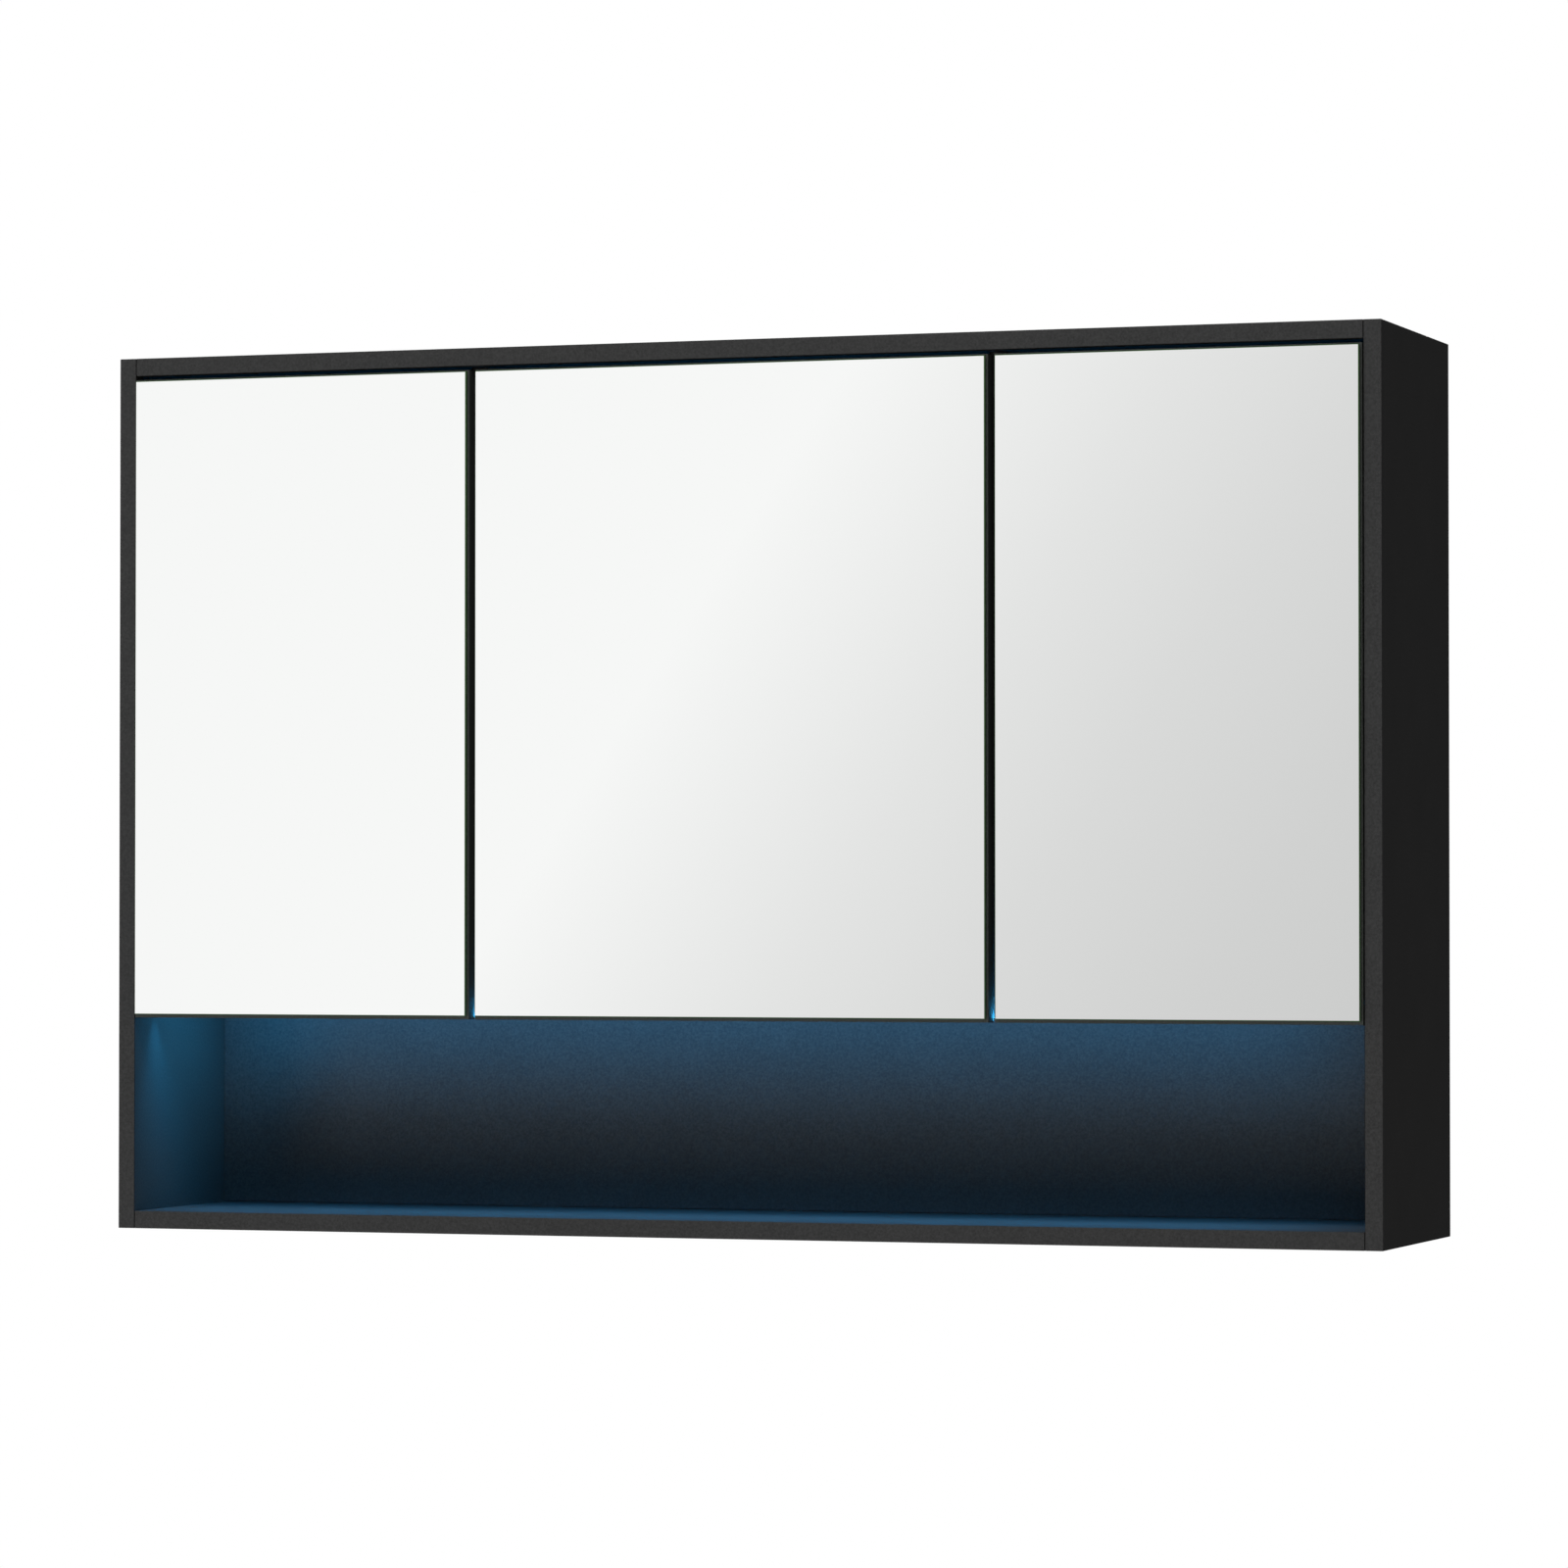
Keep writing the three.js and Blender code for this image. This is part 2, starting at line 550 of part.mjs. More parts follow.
// A round tube along straight runs joined by round bends
function tube(corners, radius, bend) {
  const path = new THREE.CurvePath();
  let from = corners[0];
  for (let i = 1; i < corners.length - 1; i += 1) {
    const corner = corners[i];
    const inPoint = corner.clone().addScaledVector(corner.clone().sub(from).normalize(), -bend);
    const out = corners[i + 1].clone().sub(corner).normalize();
    const outPoint = corner.clone().addScaledVector(out, bend);
    path.add(new THREE.LineCurve3(from, inPoint));
    path.add(new THREE.QuadraticBezierCurve3(inPoint, corner, outPoint));
    from = outPoint;
  }
  path.add(new THREE.LineCurve3(from, corners.at(-1)));
  const section = new THREE.Shape();
  const sides = 8;
  for (let i = 0; i < sides; i += 1) {
    const angle = (2 * Math.PI * i) / sides;
    const point = [radius * Math.cos(angle), radius * Math.sin(angle)];
    if (i === 0) section.moveTo(...point);
    else section.lineTo(...point);
  }
  const steps = Math.round(path.getLength() / (4 * radius));
  return new THREE.ExtrudeGeometry(section, { steps, bevelEnabled: false, extrudePath: path });
}

// ---------------------------------------------------------------- hanging hardware

// A box bracket in each upper rear corner carries a hook that drops behind a wall plate's lip
function addHangers() {
  const behind = backFront + BACK_BOARD;
  const top = topUnderside - FIT;
  const bottom = top - HANGER_HEIGHT;
  const bodyY = behind + FIT;
  const plateFace = DEPTH - WALL_PLATE;
  const toothBack = plateFace - HOOK_CLEARANCE;
  const toothFront = toothBack - HOOK_STEEL;
  const lipBack = toothFront - HOOK_CLEARANCE;
  const lipFront = lipBack - WALL_PLATE;
  const hookTop = top - HOOK_BELOW_TOP;
  const hookUnder = hookTop - HOOK_STEEL;
  const toothBottom = hookTop - HOOK_DROP;
  const lipTop = hookUnder - HOOK_CLEARANCE;
  const lipBottom = toothBottom - HOOK_CLEARANCE;
  const plateBottom = lipTop - WALL_PLATE_HEIGHT;
  for (const [name, side] of [['left', -1], ['right', 1]]) {
    const outer = side * (sideInner - FIT);
    const inner = side * (sideInner - FIT - HANGER_WIDTH);
    const x0 = Math.min(outer, inner);
    const x1 = Math.max(outer, inner);
    const bodyBack = bodyY + HANGER_DEPTH;
    const hook = [
      [bodyY, bottom], [bodyBack, bottom], [bodyBack, hookUnder], [toothFront, hookUnder],
      [toothFront, toothBottom], [toothBack, toothBottom], [toothBack, hookTop],
      [bodyBack, hookTop], [bodyBack, top], [bodyY, top],
    ];
    add(`hanger_bracket_${name}`, runX(hook, x0, x1), zinc);
    const plate = [
      [plateFace, plateBottom], [DEPTH, plateBottom], [DEPTH, lipBottom],
      [lipBack, lipBottom], [lipBack, lipTop], [lipFront, lipTop],
      [lipFront, lipBottom - WALL_PLATE], [plateFace, lipBottom - WALL_PLATE],
    ];
    const far = side * (sideInner - FIT - WALL_PLATE_WIDTH);
    const near = side * (sideInner - WALL_PLATE_TO_SIDE);
    add(`wall_plate_${name}`, runX(plate, Math.min(near, far), Math.max(near, far)), zinc);
  }
}

addCarcass();
addShelves();
for (const door of doors) {
  addDoor(door);
  addHinges(door);
}
addLight();
addSwitch();
addWiring();
addHangers();

export default cabinet;
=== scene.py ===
# %% [markdown]
# # A wall-hung mirror cabinet with a lit niche
#
# Three mirror doors hang in a frame of dark graphite board. Below them is an open niche, and a
# light strip under its ceiling washes blue light down the niche's back. The CAD model already
# holds the boards, hinges and hardware at their exact places, so this lesson gives each of them
# its finish and models what is too fine for CAD: ground glass edges, screws, shelf pins, buffers.

# %% Load the frame
import math
from contextlib import contextmanager

import bpy
from mathutils import Matrix, Vector


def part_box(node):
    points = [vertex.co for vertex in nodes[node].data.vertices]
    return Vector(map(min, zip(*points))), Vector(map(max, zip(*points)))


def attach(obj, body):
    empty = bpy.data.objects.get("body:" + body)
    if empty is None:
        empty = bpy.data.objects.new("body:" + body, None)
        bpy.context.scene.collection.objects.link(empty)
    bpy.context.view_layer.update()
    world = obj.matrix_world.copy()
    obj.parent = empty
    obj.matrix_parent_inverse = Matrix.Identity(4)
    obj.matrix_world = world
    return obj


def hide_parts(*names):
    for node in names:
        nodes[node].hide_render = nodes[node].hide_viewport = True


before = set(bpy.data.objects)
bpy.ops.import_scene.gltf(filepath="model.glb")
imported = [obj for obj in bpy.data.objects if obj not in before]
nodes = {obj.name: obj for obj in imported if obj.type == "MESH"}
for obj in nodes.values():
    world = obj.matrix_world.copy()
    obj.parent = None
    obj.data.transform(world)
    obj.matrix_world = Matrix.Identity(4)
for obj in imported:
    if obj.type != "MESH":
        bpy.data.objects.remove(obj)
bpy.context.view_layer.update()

MM = 0.001

# %% [markdown]
# ## The camera
#
# A long lens a good five metres away keeps the cabinet's edges almost parallel, as catalogue
# pictures do. It stands to the right of the middle, a little below the cabinet's centre, and
# looks up by about one degree, which shows the right side and none of the top.

# %% Camera
camera_data = bpy.data.cameras.new("Camera")
camera_data.lens = 141.46
camera_data.sensor_width = 36
camera_data.clip_end = 100
camera = bpy.data.objects.new("Camera", camera_data)
camera.location = (1.8609, -5.3207, 0.2936)
camera.rotation_euler = (math.radians(91.18), 0, math.radians(19.187))
bpy.context.collection.objects.link(camera)
bpy.context.scene.camera = camera
print("camera is", round(camera.location.length, 2), "m from the origin")

# %% [markdown]
# ## Three helpers for materials
#
# Colours are picked as sRGB hex values, the way a paint chart or a web page gives them, but
# shaders add and multiply light, so they need linear values. A node tree is only nodes with
# settings and wires, so one small function that adds a node is enough for every material here.

# %% Colour and node helpers
def colour(hex_value):
    """An sRGB hex colour as linear RGBA."""
    channels = [int(hex_value[i:i + 2], 16) / 255 for i in (0, 2, 4)]
    return [c / 12.92 if c <= 0.04045 else ((c + 0.055) / 1.055) ** 2.4 for c in channels] + [1.0]


def add_node(tree, kind, settings=None, inputs=None):
    """Adds one node. An input is a value, or another node's output to link it to."""
    made = tree.nodes.new(kind)
    for name, value in (settings or {}).items():
        setattr(made, name, value)
    for name, value in (inputs or {}).items():
        if isinstance(value, bpy.types.NodeSocket):
            tree.links.new(value, made.inputs[name])
        else:
            made.inputs[name].default_value = value
    return made


def start_material(name, sockets):
    """A material with its shader's own sockets set. Returns it, its tree and its shader."""
    made = bpy.data.materials.new(name)
    made.use_nodes = True
    shader = made.node_tree.nodes["Principled BSDF"]
    for socket, value in sockets.items():
        shader.inputs[socket].default_value = value
    return made, made.node_tree, shader


print("graphite, linear:", [round(c, 4) for c in colour("3A3A3A")[:3]])

# %% [markdown]
# ## Melamine-faced chipboard
#
# The boards are chipboard pressed between sheets of resin-soaked paper. The press plate leaves a
# fine pearl texture that scatters light, so the graphite looks matt with a faint grain and never
# a sharp highlight. A modelled grain would need millions of faces, so it is noise in the shader:
# the pearl is drawn 2 mm across, coarser than it is, so that it shows, and a slow cloud makes the
# paper's tone uneven. Edges that show carry a 1 mm plastic band, whose glue line is a thin dark
# seam. The edges that face the wall are left raw, and there the chips can be seen.

# %% Melamine board
PEARL = 2.0 * MM
PAPER_CLOUD = 60 * MM
BAND = 1.0 * MM
GLUE_LINE = 0.15 * MM
JOINT_SHADE = 0.5 * MM
JOINT_GAP = 0.3 * MM
CHIP = 3.5 * MM
GLOSS = 0.08
CLOUD_SHARE = 0.25
PEARL_CONTRAST = 1.6
GLUE_BROWN = "1C1B1A"
# near-black of the thin painted shadow line where two carcass boards meet
JOINT_PAINTED_SHADOW = "0A0A0A"


def melamine_board(name, front=None, raw_rear=None, joint=None, graphite=("2F2F2F", "494949")):
    """Pearl-textured graphite board. front is its banded edge's Y, raw_rear the raw edge's browns,
    and joint the X where it meets its neighbour, along which a painted shadow line darkens the front."""
    made, tree, shader = start_material(name, {"IOR": 1.5, "Specular IOR Level": GLOSS})
    place = add_node(tree, "ShaderNodeTexCoord").outputs["Object"]
    pearl = add_node(tree, "ShaderNodeTexNoise", inputs={
        "Vector": place, "Scale": 1 / PEARL, "Detail": 2.0, "Roughness": 0.6}).outputs["Fac"]
    cloud = add_node(tree, "ShaderNodeTexNoise", inputs={
        "Vector": place, "Scale": 1 / PAPER_CLOUD, "Detail": 3.0}).outputs["Fac"]
    blend = add_node(tree, "ShaderNodeMath", {"operation": "MULTIPLY_ADD", "use_clamp": True},
                     {0: pearl, 1: PEARL_CONTRAST, 2: (1 - PEARL_CONTRAST) / 2}).outputs[0]
    blend = add_node(tree, "ShaderNodeMix", inputs={0: CLOUD_SHARE, 2: blend, 3: cloud}).outputs[0]
    tint = add_node(tree, "ShaderNodeMix", {"data_type": "RGBA"}, {
        0: blend, 6: colour(graphite[0]), 7: colour(graphite[1])}).outputs[2]
    rough = add_node(tree, "ShaderNodeMapRange", inputs={
        "Value": pearl, "To Min": 0.58, "To Max": 0.76}).outputs["Result"]
    height = pearl
    axes = add_node(tree, "ShaderNodeSeparateXYZ", inputs={"Vector": place}).outputs
    if front is not None:
        seam = add_node(tree, "ShaderNodeMath", {"operation": "COMPARE"}, {
            0: axes["Y"], 1: front + BAND, 2: GLUE_LINE}).outputs[0]
        tint = add_node(tree, "ShaderNodeMix", {"data_type": "RGBA"}, {
            0: seam, 6: tint, 7: colour(GLUE_BROWN)}).outputs[2]
    facing = add_node(tree, "ShaderNodeNewGeometry").outputs["Normal"]
    backward = add_node(tree, "ShaderNodeSeparateXYZ", inputs={"Vector": facing}).outputs["Y"]
    # painted shadow: a thin near-black line on the front faces along the joint, standing in for the shade in
    # the crevice between the boards
    if joint is not None:
        side = add_node(tree, "ShaderNodeMath", {"operation": "ABSOLUTE"}, {0: axes["X"]}).outputs[0]
        line = add_node(tree, "ShaderNodeMath", {"operation": "COMPARE"}, {
            0: side, 1: joint, 2: JOINT_SHADE}).outputs[0]
        ahead = add_node(tree, "ShaderNodeMath", {"operation": "LESS_THAN"}, {
            0: backward, 1: -0.5}).outputs[0]
        line = add_node(tree, "ShaderNodeMath", {"operation": "MULTIPLY"}, {
            0: line, 1: ahead}).outputs[0]
        tint = add_node(tree, "ShaderNodeMix", {"data_type": "RGBA"}, {
            0: line, 6: tint, 7: colour(JOINT_PAINTED_SHADOW)}).outputs[2]
    if raw_rear is not None:
        raw = add_node(tree, "ShaderNodeMath", {"operation": "GREATER_THAN"}, {
            0: backward, 1: 0.9}).outputs[0]
        chips = add_node(tree, "ShaderNodeTexVoronoi", inputs={"Vector": place, "Scale": 1 / CHIP})
        shade = add_node(tree, "ShaderNodeSeparateXYZ", inputs={
            "Vector": chips.outputs["Color"]}).outputs["X"]
        brown = add_node(tree, "ShaderNodeMix", {"data_type": "RGBA"}, {
            0: shade, 6: colour(raw_rear[0]), 7: colour(raw_rear[1])}).outputs[2]
        tint = add_node(tree, "ShaderNodeMix", {"data_type": "RGBA"}, {
            0: raw, 6: tint, 7: brown}).outputs[2]
        rough = add_node(tree, "ShaderNodeMix", inputs={0: raw, 2: rough, 3: 0.9}).outputs[0]
        height = add_node(tree, "ShaderNodeMix", inputs={0: raw, 2: pearl, 3: shade}).outputs[0]
    bump = add_node(tree, "ShaderNodeBump", inputs={
        "Strength": 0.5, "Distance": 0.06 * MM, "Height": height})
    tree.links.new(tint, shader.inputs["Base Color"])
    tree.links.new(rough, shader.inputs["Roughness"])
    tree.links.new(bump.outputs["Normal"], shader.inputs["Normal"])
    return made


CHIPBOARD_BROWNS = ("6E5233", "B8976A")
HARDBOARD_BROWNS = ("5E4228", "6E4F31")
carcass_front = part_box("side_panel_left")[0].y
shelf_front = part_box("fixed_shelf")[0].y
carcass_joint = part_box("side_panel_right")[0].x - JOINT_GAP / 2
carcass_board = melamine_board("melamine_chipboard_carcass", carcass_front, CHIPBOARD_BROWNS,
                               carcass_joint)
shelf_board = melamine_board("melamine_chipboard_shelf", shelf_front, CHIPBOARD_BROWNS)
inner_board = melamine_board("melamine_chipboard_partition", shelf_front)
# the doors' board is a lighter, slightly green copy of the carcass graphite: painted light on the narrow
# margins beside the mirror panes, which lie in the panes' shadow
DOOR_GRAPHITE_LIGHTENED = ("3D3F3D", "545754")
door_board = melamine_board("melamine_chipboard_door_lightened", graphite=DOOR_GRAPHITE_LIGHTENED)
back_board = melamine_board("melamine_hardboard_back", None, HARDBOARD_BROWNS)
print("carcass front at", round(carcass_front / MM, 1), "mm, shelf front at", round(shelf_front / MM, 1))

# %% [markdown]
# ## Breaking the boards' edges
#
# A real board never ends in a perfect edge: the band is scraped to a small round, and that round
# catches a thin line of light. A CAD node's mesh stays as it is, and modifiers finish it. The
# node's triangles are loose, so Weld joins them first, and Bevel then rounds every corner that
# turns by more than 30 degrees.

# %% Edge rounding for CAD nodes
WELD_DISTANCE = 0.01 * MM
SHARP_CORNER = math.radians(30)


def finish_node(name, material, edge, segments=2):
    """Gives a CAD node its material, and rounds its edges by a modifier."""
    node = nodes[name]
    for material_slot in node.material_slots:
        material_slot.material = material
    weld = node.modifiers.new("Weld", "WELD")
    weld.merge_threshold = WELD_DISTANCE
    bevel = node.modifiers.new("Bevel", "BEVEL")
    bevel.width = edge
    bevel.segments = segments
    bevel.limit_method = "ANGLE"
    bevel.angle_limit = SHARP_CORNER
    bevel.harden_normals = True


BAND_ROUND = 0.45 * MM
boards = {
    "side_panel_left": carcass_board, "side_panel_right": carcass_board,
    "top_panel": carcass_board, "bottom_panel": carcass_board, "fixed_shelf": shelf_board,
    "partition_left": inner_board, "partition_right": inner_board,
    "upper_back_panel": back_board, "niche_back_panel": back_board,
    "door_board_left": door_board, "door_board_middle": door_board, "door_board_right": door_board,
}
for board, material in boards.items():
    finish_node(board, material, BAND_ROUND)
print("boards finished:", len(boards))

# %% [markdown]
# ## Modelling helpers
#
# Every new piece starts from a primitive at its real size and place and is shaped in edit mode.
# Operators act on all that is selected, so a helper clears the selection, and another picks the
# faces or edges to work on by where they are. A finished piece rides on a CAD body.

# %% Modelling helpers
SMOOTH_BELOW = math.radians(35)


def new_piece(add_primitive, name, stretch=(1, 1, 1), **settings):
    """Adds a primitive with nothing else selected, and puts its place and size into its mesh."""
    bpy.ops.object.select_all(action="DESELECT")
    add_primitive(**settings)
    piece = bpy.context.object
    piece.name = piece.data.name = name
    piece.scale = stretch
    bpy.ops.object.transform_apply(location=True, rotation=True, scale=True)
    return piece


def block(name, low, high):
    """A cube between two corners."""
    low, high = Vector(low), Vector(high)
    return new_piece(bpy.ops.mesh.primitive_cube_add, name, high - low, size=1,
                     location=(low + high) / 2)


@contextmanager
def editing(piece, kind, test):
    """Edit mode with the faces or edges picked by a test on their middle and direction."""
    bpy.ops.object.select_all(action="DESELECT")
    piece.select_set(True)
    bpy.context.view_layer.objects.active = piece
    mesh = piece.data
    for parts in (mesh.vertices, mesh.edges, mesh.polygons):
        parts.foreach_set("select", [False] * len(parts))
    if kind == "FACE":
        for face in mesh.polygons:
            face.select = bool(test(face.center, face.normal))
    else:
        for edge in mesh.edges:
            a, b = (mesh.vertices[i].co for i in edge.vertices)
            edge.select = bool(test((a + b) / 2, (b - a).normalized()))
    bpy.context.tool_settings.mesh_select_mode = (False, kind == "EDGE", kind == "FACE")
    bpy.ops.object.mode_set(mode="EDIT")
    yield
    bpy.ops.object.mode_set(mode="OBJECT")


def extrude(step):
    """Extrudes the picked faces or edges by a step."""
    bpy.ops.mesh.extrude_region_move(TRANSFORM_OT_translate={"value": step})


def repeat(piece, count, step):
    """Repeats a piece along X by an array, and applies it."""
    row = piece.modifiers.new("Row", "ARRAY")
    row.count = count
    row.use_relative_offset = False
    row.use_constant_offset = True
    row.constant_offset_displace = (step, 0, 0)
    bpy.context.view_layer.objects.active = piece
    bpy.ops.object.modifier_apply(modifier=row.name)


def settle(piece, body, slot, *materials):
    """Puts a finished piece on its body, with its materials and smooth shading. slot is not used."""
    piece.data.materials.clear()
    for material in materials:
        piece.data.materials.append(material)
    bpy.ops.object.select_all(action="DESELECT")
    piece.select_set(True)
    bpy.context.view_layer.objects.active = piece
    bpy.ops.object.shade_smooth_by_angle(angle=SMOOTH_BELOW)
    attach(piece, body)
    return piece


def copies(pattern, places, slot, *materials):
    """One copy of a pattern, with its own mesh, for each name: (body, matrix). The pattern goes."""
    made = []
    for name, (body, matrix) in places.items():
        twin = bpy.data.objects.new(name, pattern.data.copy())
        twin.data.name = name
        twin.data.transform(matrix)
        bpy.context.collection.objects.link(twin)
        made.append(settle(twin, body, slot, *materials))
    bpy.data.objects.remove(pattern)
    return made


print("the helpers are ready")

# %% [markdown]
# ## Mirror glass
#
# Each door carries a pane of 5 mm float glass, silvered on its back and glued to the board. The
# edges are ground and polished: a flat edge with a narrow slanted arris front and back. Light that
# enters the edge travels along the pane, so it comes out dark green from the iron in the glass.
# The pane is a block whose front and back outline is bevelled. Its face is a metal shader, because
# the silver is what answers the light, and the edge is an opaque glassy green. That green is made
# lighter than the glass's own, as painted light for the light that the edge carries along the pane.

# %% Glass and silver materials
WAVE = 180 * MM
silver, tree, shader = start_material("silvered_float_glass", {
    "Metallic": 1.0, "Base Color": colour("F6F7F6")})
place = add_node(tree, "ShaderNodeTexCoord").outputs["Object"]
wave = add_node(tree, "ShaderNodeTexNoise", inputs={
    "Vector": place, "Scale": 1 / WAVE, "Detail": 1.0}).outputs["Fac"]
rough = add_node(tree, "ShaderNodeMapRange", inputs={
    "Value": wave, "To Min": 0.0, "To Max": 0.02}).outputs["Result"]
bump = add_node(tree, "ShaderNodeBump", inputs={
    "Strength": 0.05, "Distance": 0.02 * MM, "Height": wave})
tree.links.new(rough, shader.inputs["Roughness"])
tree.links.new(bump.outputs["Normal"], shader.inputs["Normal"])

GRIND_MARK = 2 * MM
glass_edge, tree, shader = start_material("polished_float_glass_edge", {
    "IOR": 1.52, "Coat Weight": 0.5, "Coat Roughness": 0.05})
place = add_node(tree, "ShaderNodeTexCoord").outputs["Object"]
marks = add_node(tree, "ShaderNodeTexNoise", inputs={
    "Vector": place, "Scale": 1 / GRIND_MARK, "Detail": 2.0}).outputs["Fac"]
# painted light: the edge's green is lighter than the glass's own, standing in for light carried along the
# pane
green = add_node(tree, "ShaderNodeMix", {"data_type": "RGBA"}, {
    0: marks, 6: colour("46663D"), 7: colour("5C8352")}).outputs[2]
rough = add_node(tree, "ShaderNodeMapRange", inputs={
    "Value": marks, "To Min": 0.08, "To Max": 0.22}).outputs["Result"]
tree.links.new(green, shader.inputs["Base Color"])
tree.links.new(rough, shader.inputs["Roughness"])

mirror_paint, tree, shader = start_material("mirror_backing_paint", {"Base Color": colour("6F7A74")})
place = add_node(tree, "ShaderNodeTexCoord").outputs["Object"]
spray = add_node(tree, "ShaderNodeTexNoise", inputs={"Vector": place, "Scale": 1 / (1.5 * MM)})
rough = add_node(tree, "ShaderNodeMapRange", inputs={
    "Value": spray.outputs["Fac"], "To Min": 0.55, "To Max": 0.75}).outputs["Result"]
tree.links.new(rough, shader.inputs["Roughness"])
print("glass materials:", silver.name, glass_edge.name, mirror_paint.name)

# %% Mirror panes
ARRIS = 0.7 * MM
CORNER_ROUND = 0.4 * MM
for side in ("left", "middle", "right"):
    low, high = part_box(f"mirror_{side}")
    pane = block(f"mirror_pane_{side}", low, high)
    with editing(pane, "EDGE", lambda middle, way: abs(way.y) < 0.5):
        bpy.ops.mesh.bevel(offset=ARRIS, segments=1, affect="EDGES")
    with editing(pane, "EDGE", lambda middle, way: abs(way.y) > 0.99):
        bpy.ops.mesh.bevel(offset=CORNER_ROUND, segments=2, affect="EDGES")
    settle(pane, f"door_{side}", "mirror_glass", glass_edge, silver, mirror_paint)
    for face in pane.data.polygons:
        face.material_index = 1 if face.normal.y < -0.99 else 2 if face.normal.y > 0.99 else 0
    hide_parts(f"mirror_{side}")
    print(pane.name, [round(v / MM, 1) for v in high - low], "mm,", len(pane.data.polygons), "faces")

# %% [markdown]
# ## Metal finishes
#
# Three metals are at work. The hinges are pressed from steel strip and nickel plated: bright, with
# soft unevenness from the press. The hanging hardware is zinc plated, a duller, blotchy grey. The
# light's channel is aluminium that was extruded, which leaves fine lines along its length, and then
# anodised to a satin. Each is a full metal whose roughness follows the mark that its process left.

# %% Metal materials
def plated_metal(name, light, dark, mark, roughness, stretch=(1, 1, 1), depth=0.01 * MM):
    """A metal whose tone, roughness and bump follow marks of a real size, stretched along an axis."""
    made, tree, shader = start_material(name, {"Metallic": 1.0})
    place = add_node(tree, "ShaderNodeTexCoord").outputs["Object"]
    place = add_node(tree, "ShaderNodeMapping", inputs={"Vector": place, "Scale": stretch}).outputs[0]
    marks = add_node(tree, "ShaderNodeTexNoise", inputs={
        "Vector": place, "Scale": 1 / mark, "Detail": 3.0}).outputs["Fac"]
    tone = add_node(tree, "ShaderNodeMix", {"data_type": "RGBA"}, {
        0: marks, 6: colour(dark), 7: colour(light)}).outputs[2]
    rough = add_node(tree, "ShaderNodeMapRange", inputs={
        "Value": marks, "To Min": roughness[0], "To Max": roughness[1]}).outputs["Result"]
    bump = add_node(tree, "ShaderNodeBump", inputs={
        "Strength": 0.4, "Distance": depth, "Height": marks})
    tree.links.new(tone, shader.inputs["Base Color"])
    tree.links.new(rough, shader.inputs["Roughness"])
    tree.links.new(bump.outputs["Normal"], shader.inputs["Normal"])
    return made


nickel = plated_metal("nickel_plated_pressed_steel", "C9C7C2", "AFADA8", 4 * MM, (0.2, 0.34))
zinc = plated_metal("zinc_plated_steel", "B4B9BD", "8E9499", 7 * MM, (0.35, 0.55))
aluminium = plated_metal("anodised_extruded_aluminium", "C8CACC", "B2B5B8", 1.2 * MM, (0.28, 0.42),
                         stretch=(0.02, 1, 1))
print("metals:", nickel.name, zinc.name, aluminium.name)

# %% Hinges
PRESS_ROUND = 0.25 * MM
hinge_places = [(side, end) for side in ("left", "middle", "right") for end in ("top", "bottom")]
for side, end in hinge_places:
    for part in ("hinge_cup", "hinge_link", "hinge_arm", "mounting_plate"):
        finish_node(f"{part}_{side}_{end}", nickel, PRESS_ROUND)
print("hinge parts finished:", 4 * len(hinge_places))

# %% [markdown]
# ## Screws
#
# Furniture hinges are held by small pan-head screws with a cross recess. One head is modelled at
# the origin, pointing up: a short cylinder whose rim is rounded, with a recess cut by two crossed
# blocks that narrow towards the bottom. It is then copied to every hole, each copy turned to its
# face and each with its own mesh, so that it can be moved or changed alone.

# %% One screw head
def screw_head(radius, height):
    """A pan head with a cross recess, its seat at z = 0 and its axis along +Z."""
    head = new_piece(bpy.ops.mesh.primitive_cylinder_add, "screw_head", vertices=28, radius=radius,
                     depth=height, location=(0, 0, height / 2))
    with editing(head, "EDGE", lambda middle, way: middle.z > 0.9 * height):
        bpy.ops.mesh.bevel(offset=0.45 * height, segments=4, affect="EDGES")
    for turn in (0, 90):
        wing = new_piece(bpy.ops.mesh.primitive_cube_add, "recess", (1.15 * radius, 0.3 * radius, height),
                         size=1, location=(0, 0, 0.85 * height), rotation=(0, 0, math.radians(turn)))
        with editing(wing, "FACE", lambda middle, normal: normal.z < -0.9):
            bpy.ops.transform.resize(value=(0.6, 0.6, 1))
        cut = head.modifiers.new("Recess", "BOOLEAN")
        cut.object = wing
        cut.solver = "EXACT"
        bpy.context.view_layer.objects.active = head
        bpy.ops.object.modifier_apply(modifier=cut.name)
        bpy.data.objects.remove(wing)
    return head


def facing(point, direction, turn=0):
    """A matrix that puts a thing modelled along +Z at a point, pointing along a direction."""
    aim = Vector(direction).to_track_quat("Z", "Y").to_matrix().to_4x4()
    return Matrix.Translation(point) @ aim @ Matrix.Rotation(math.radians(turn), 4, "Z")


pattern = screw_head(3.3 * MM, 1.5 * MM)
print("one head has", len(pattern.data.polygons), "faces")

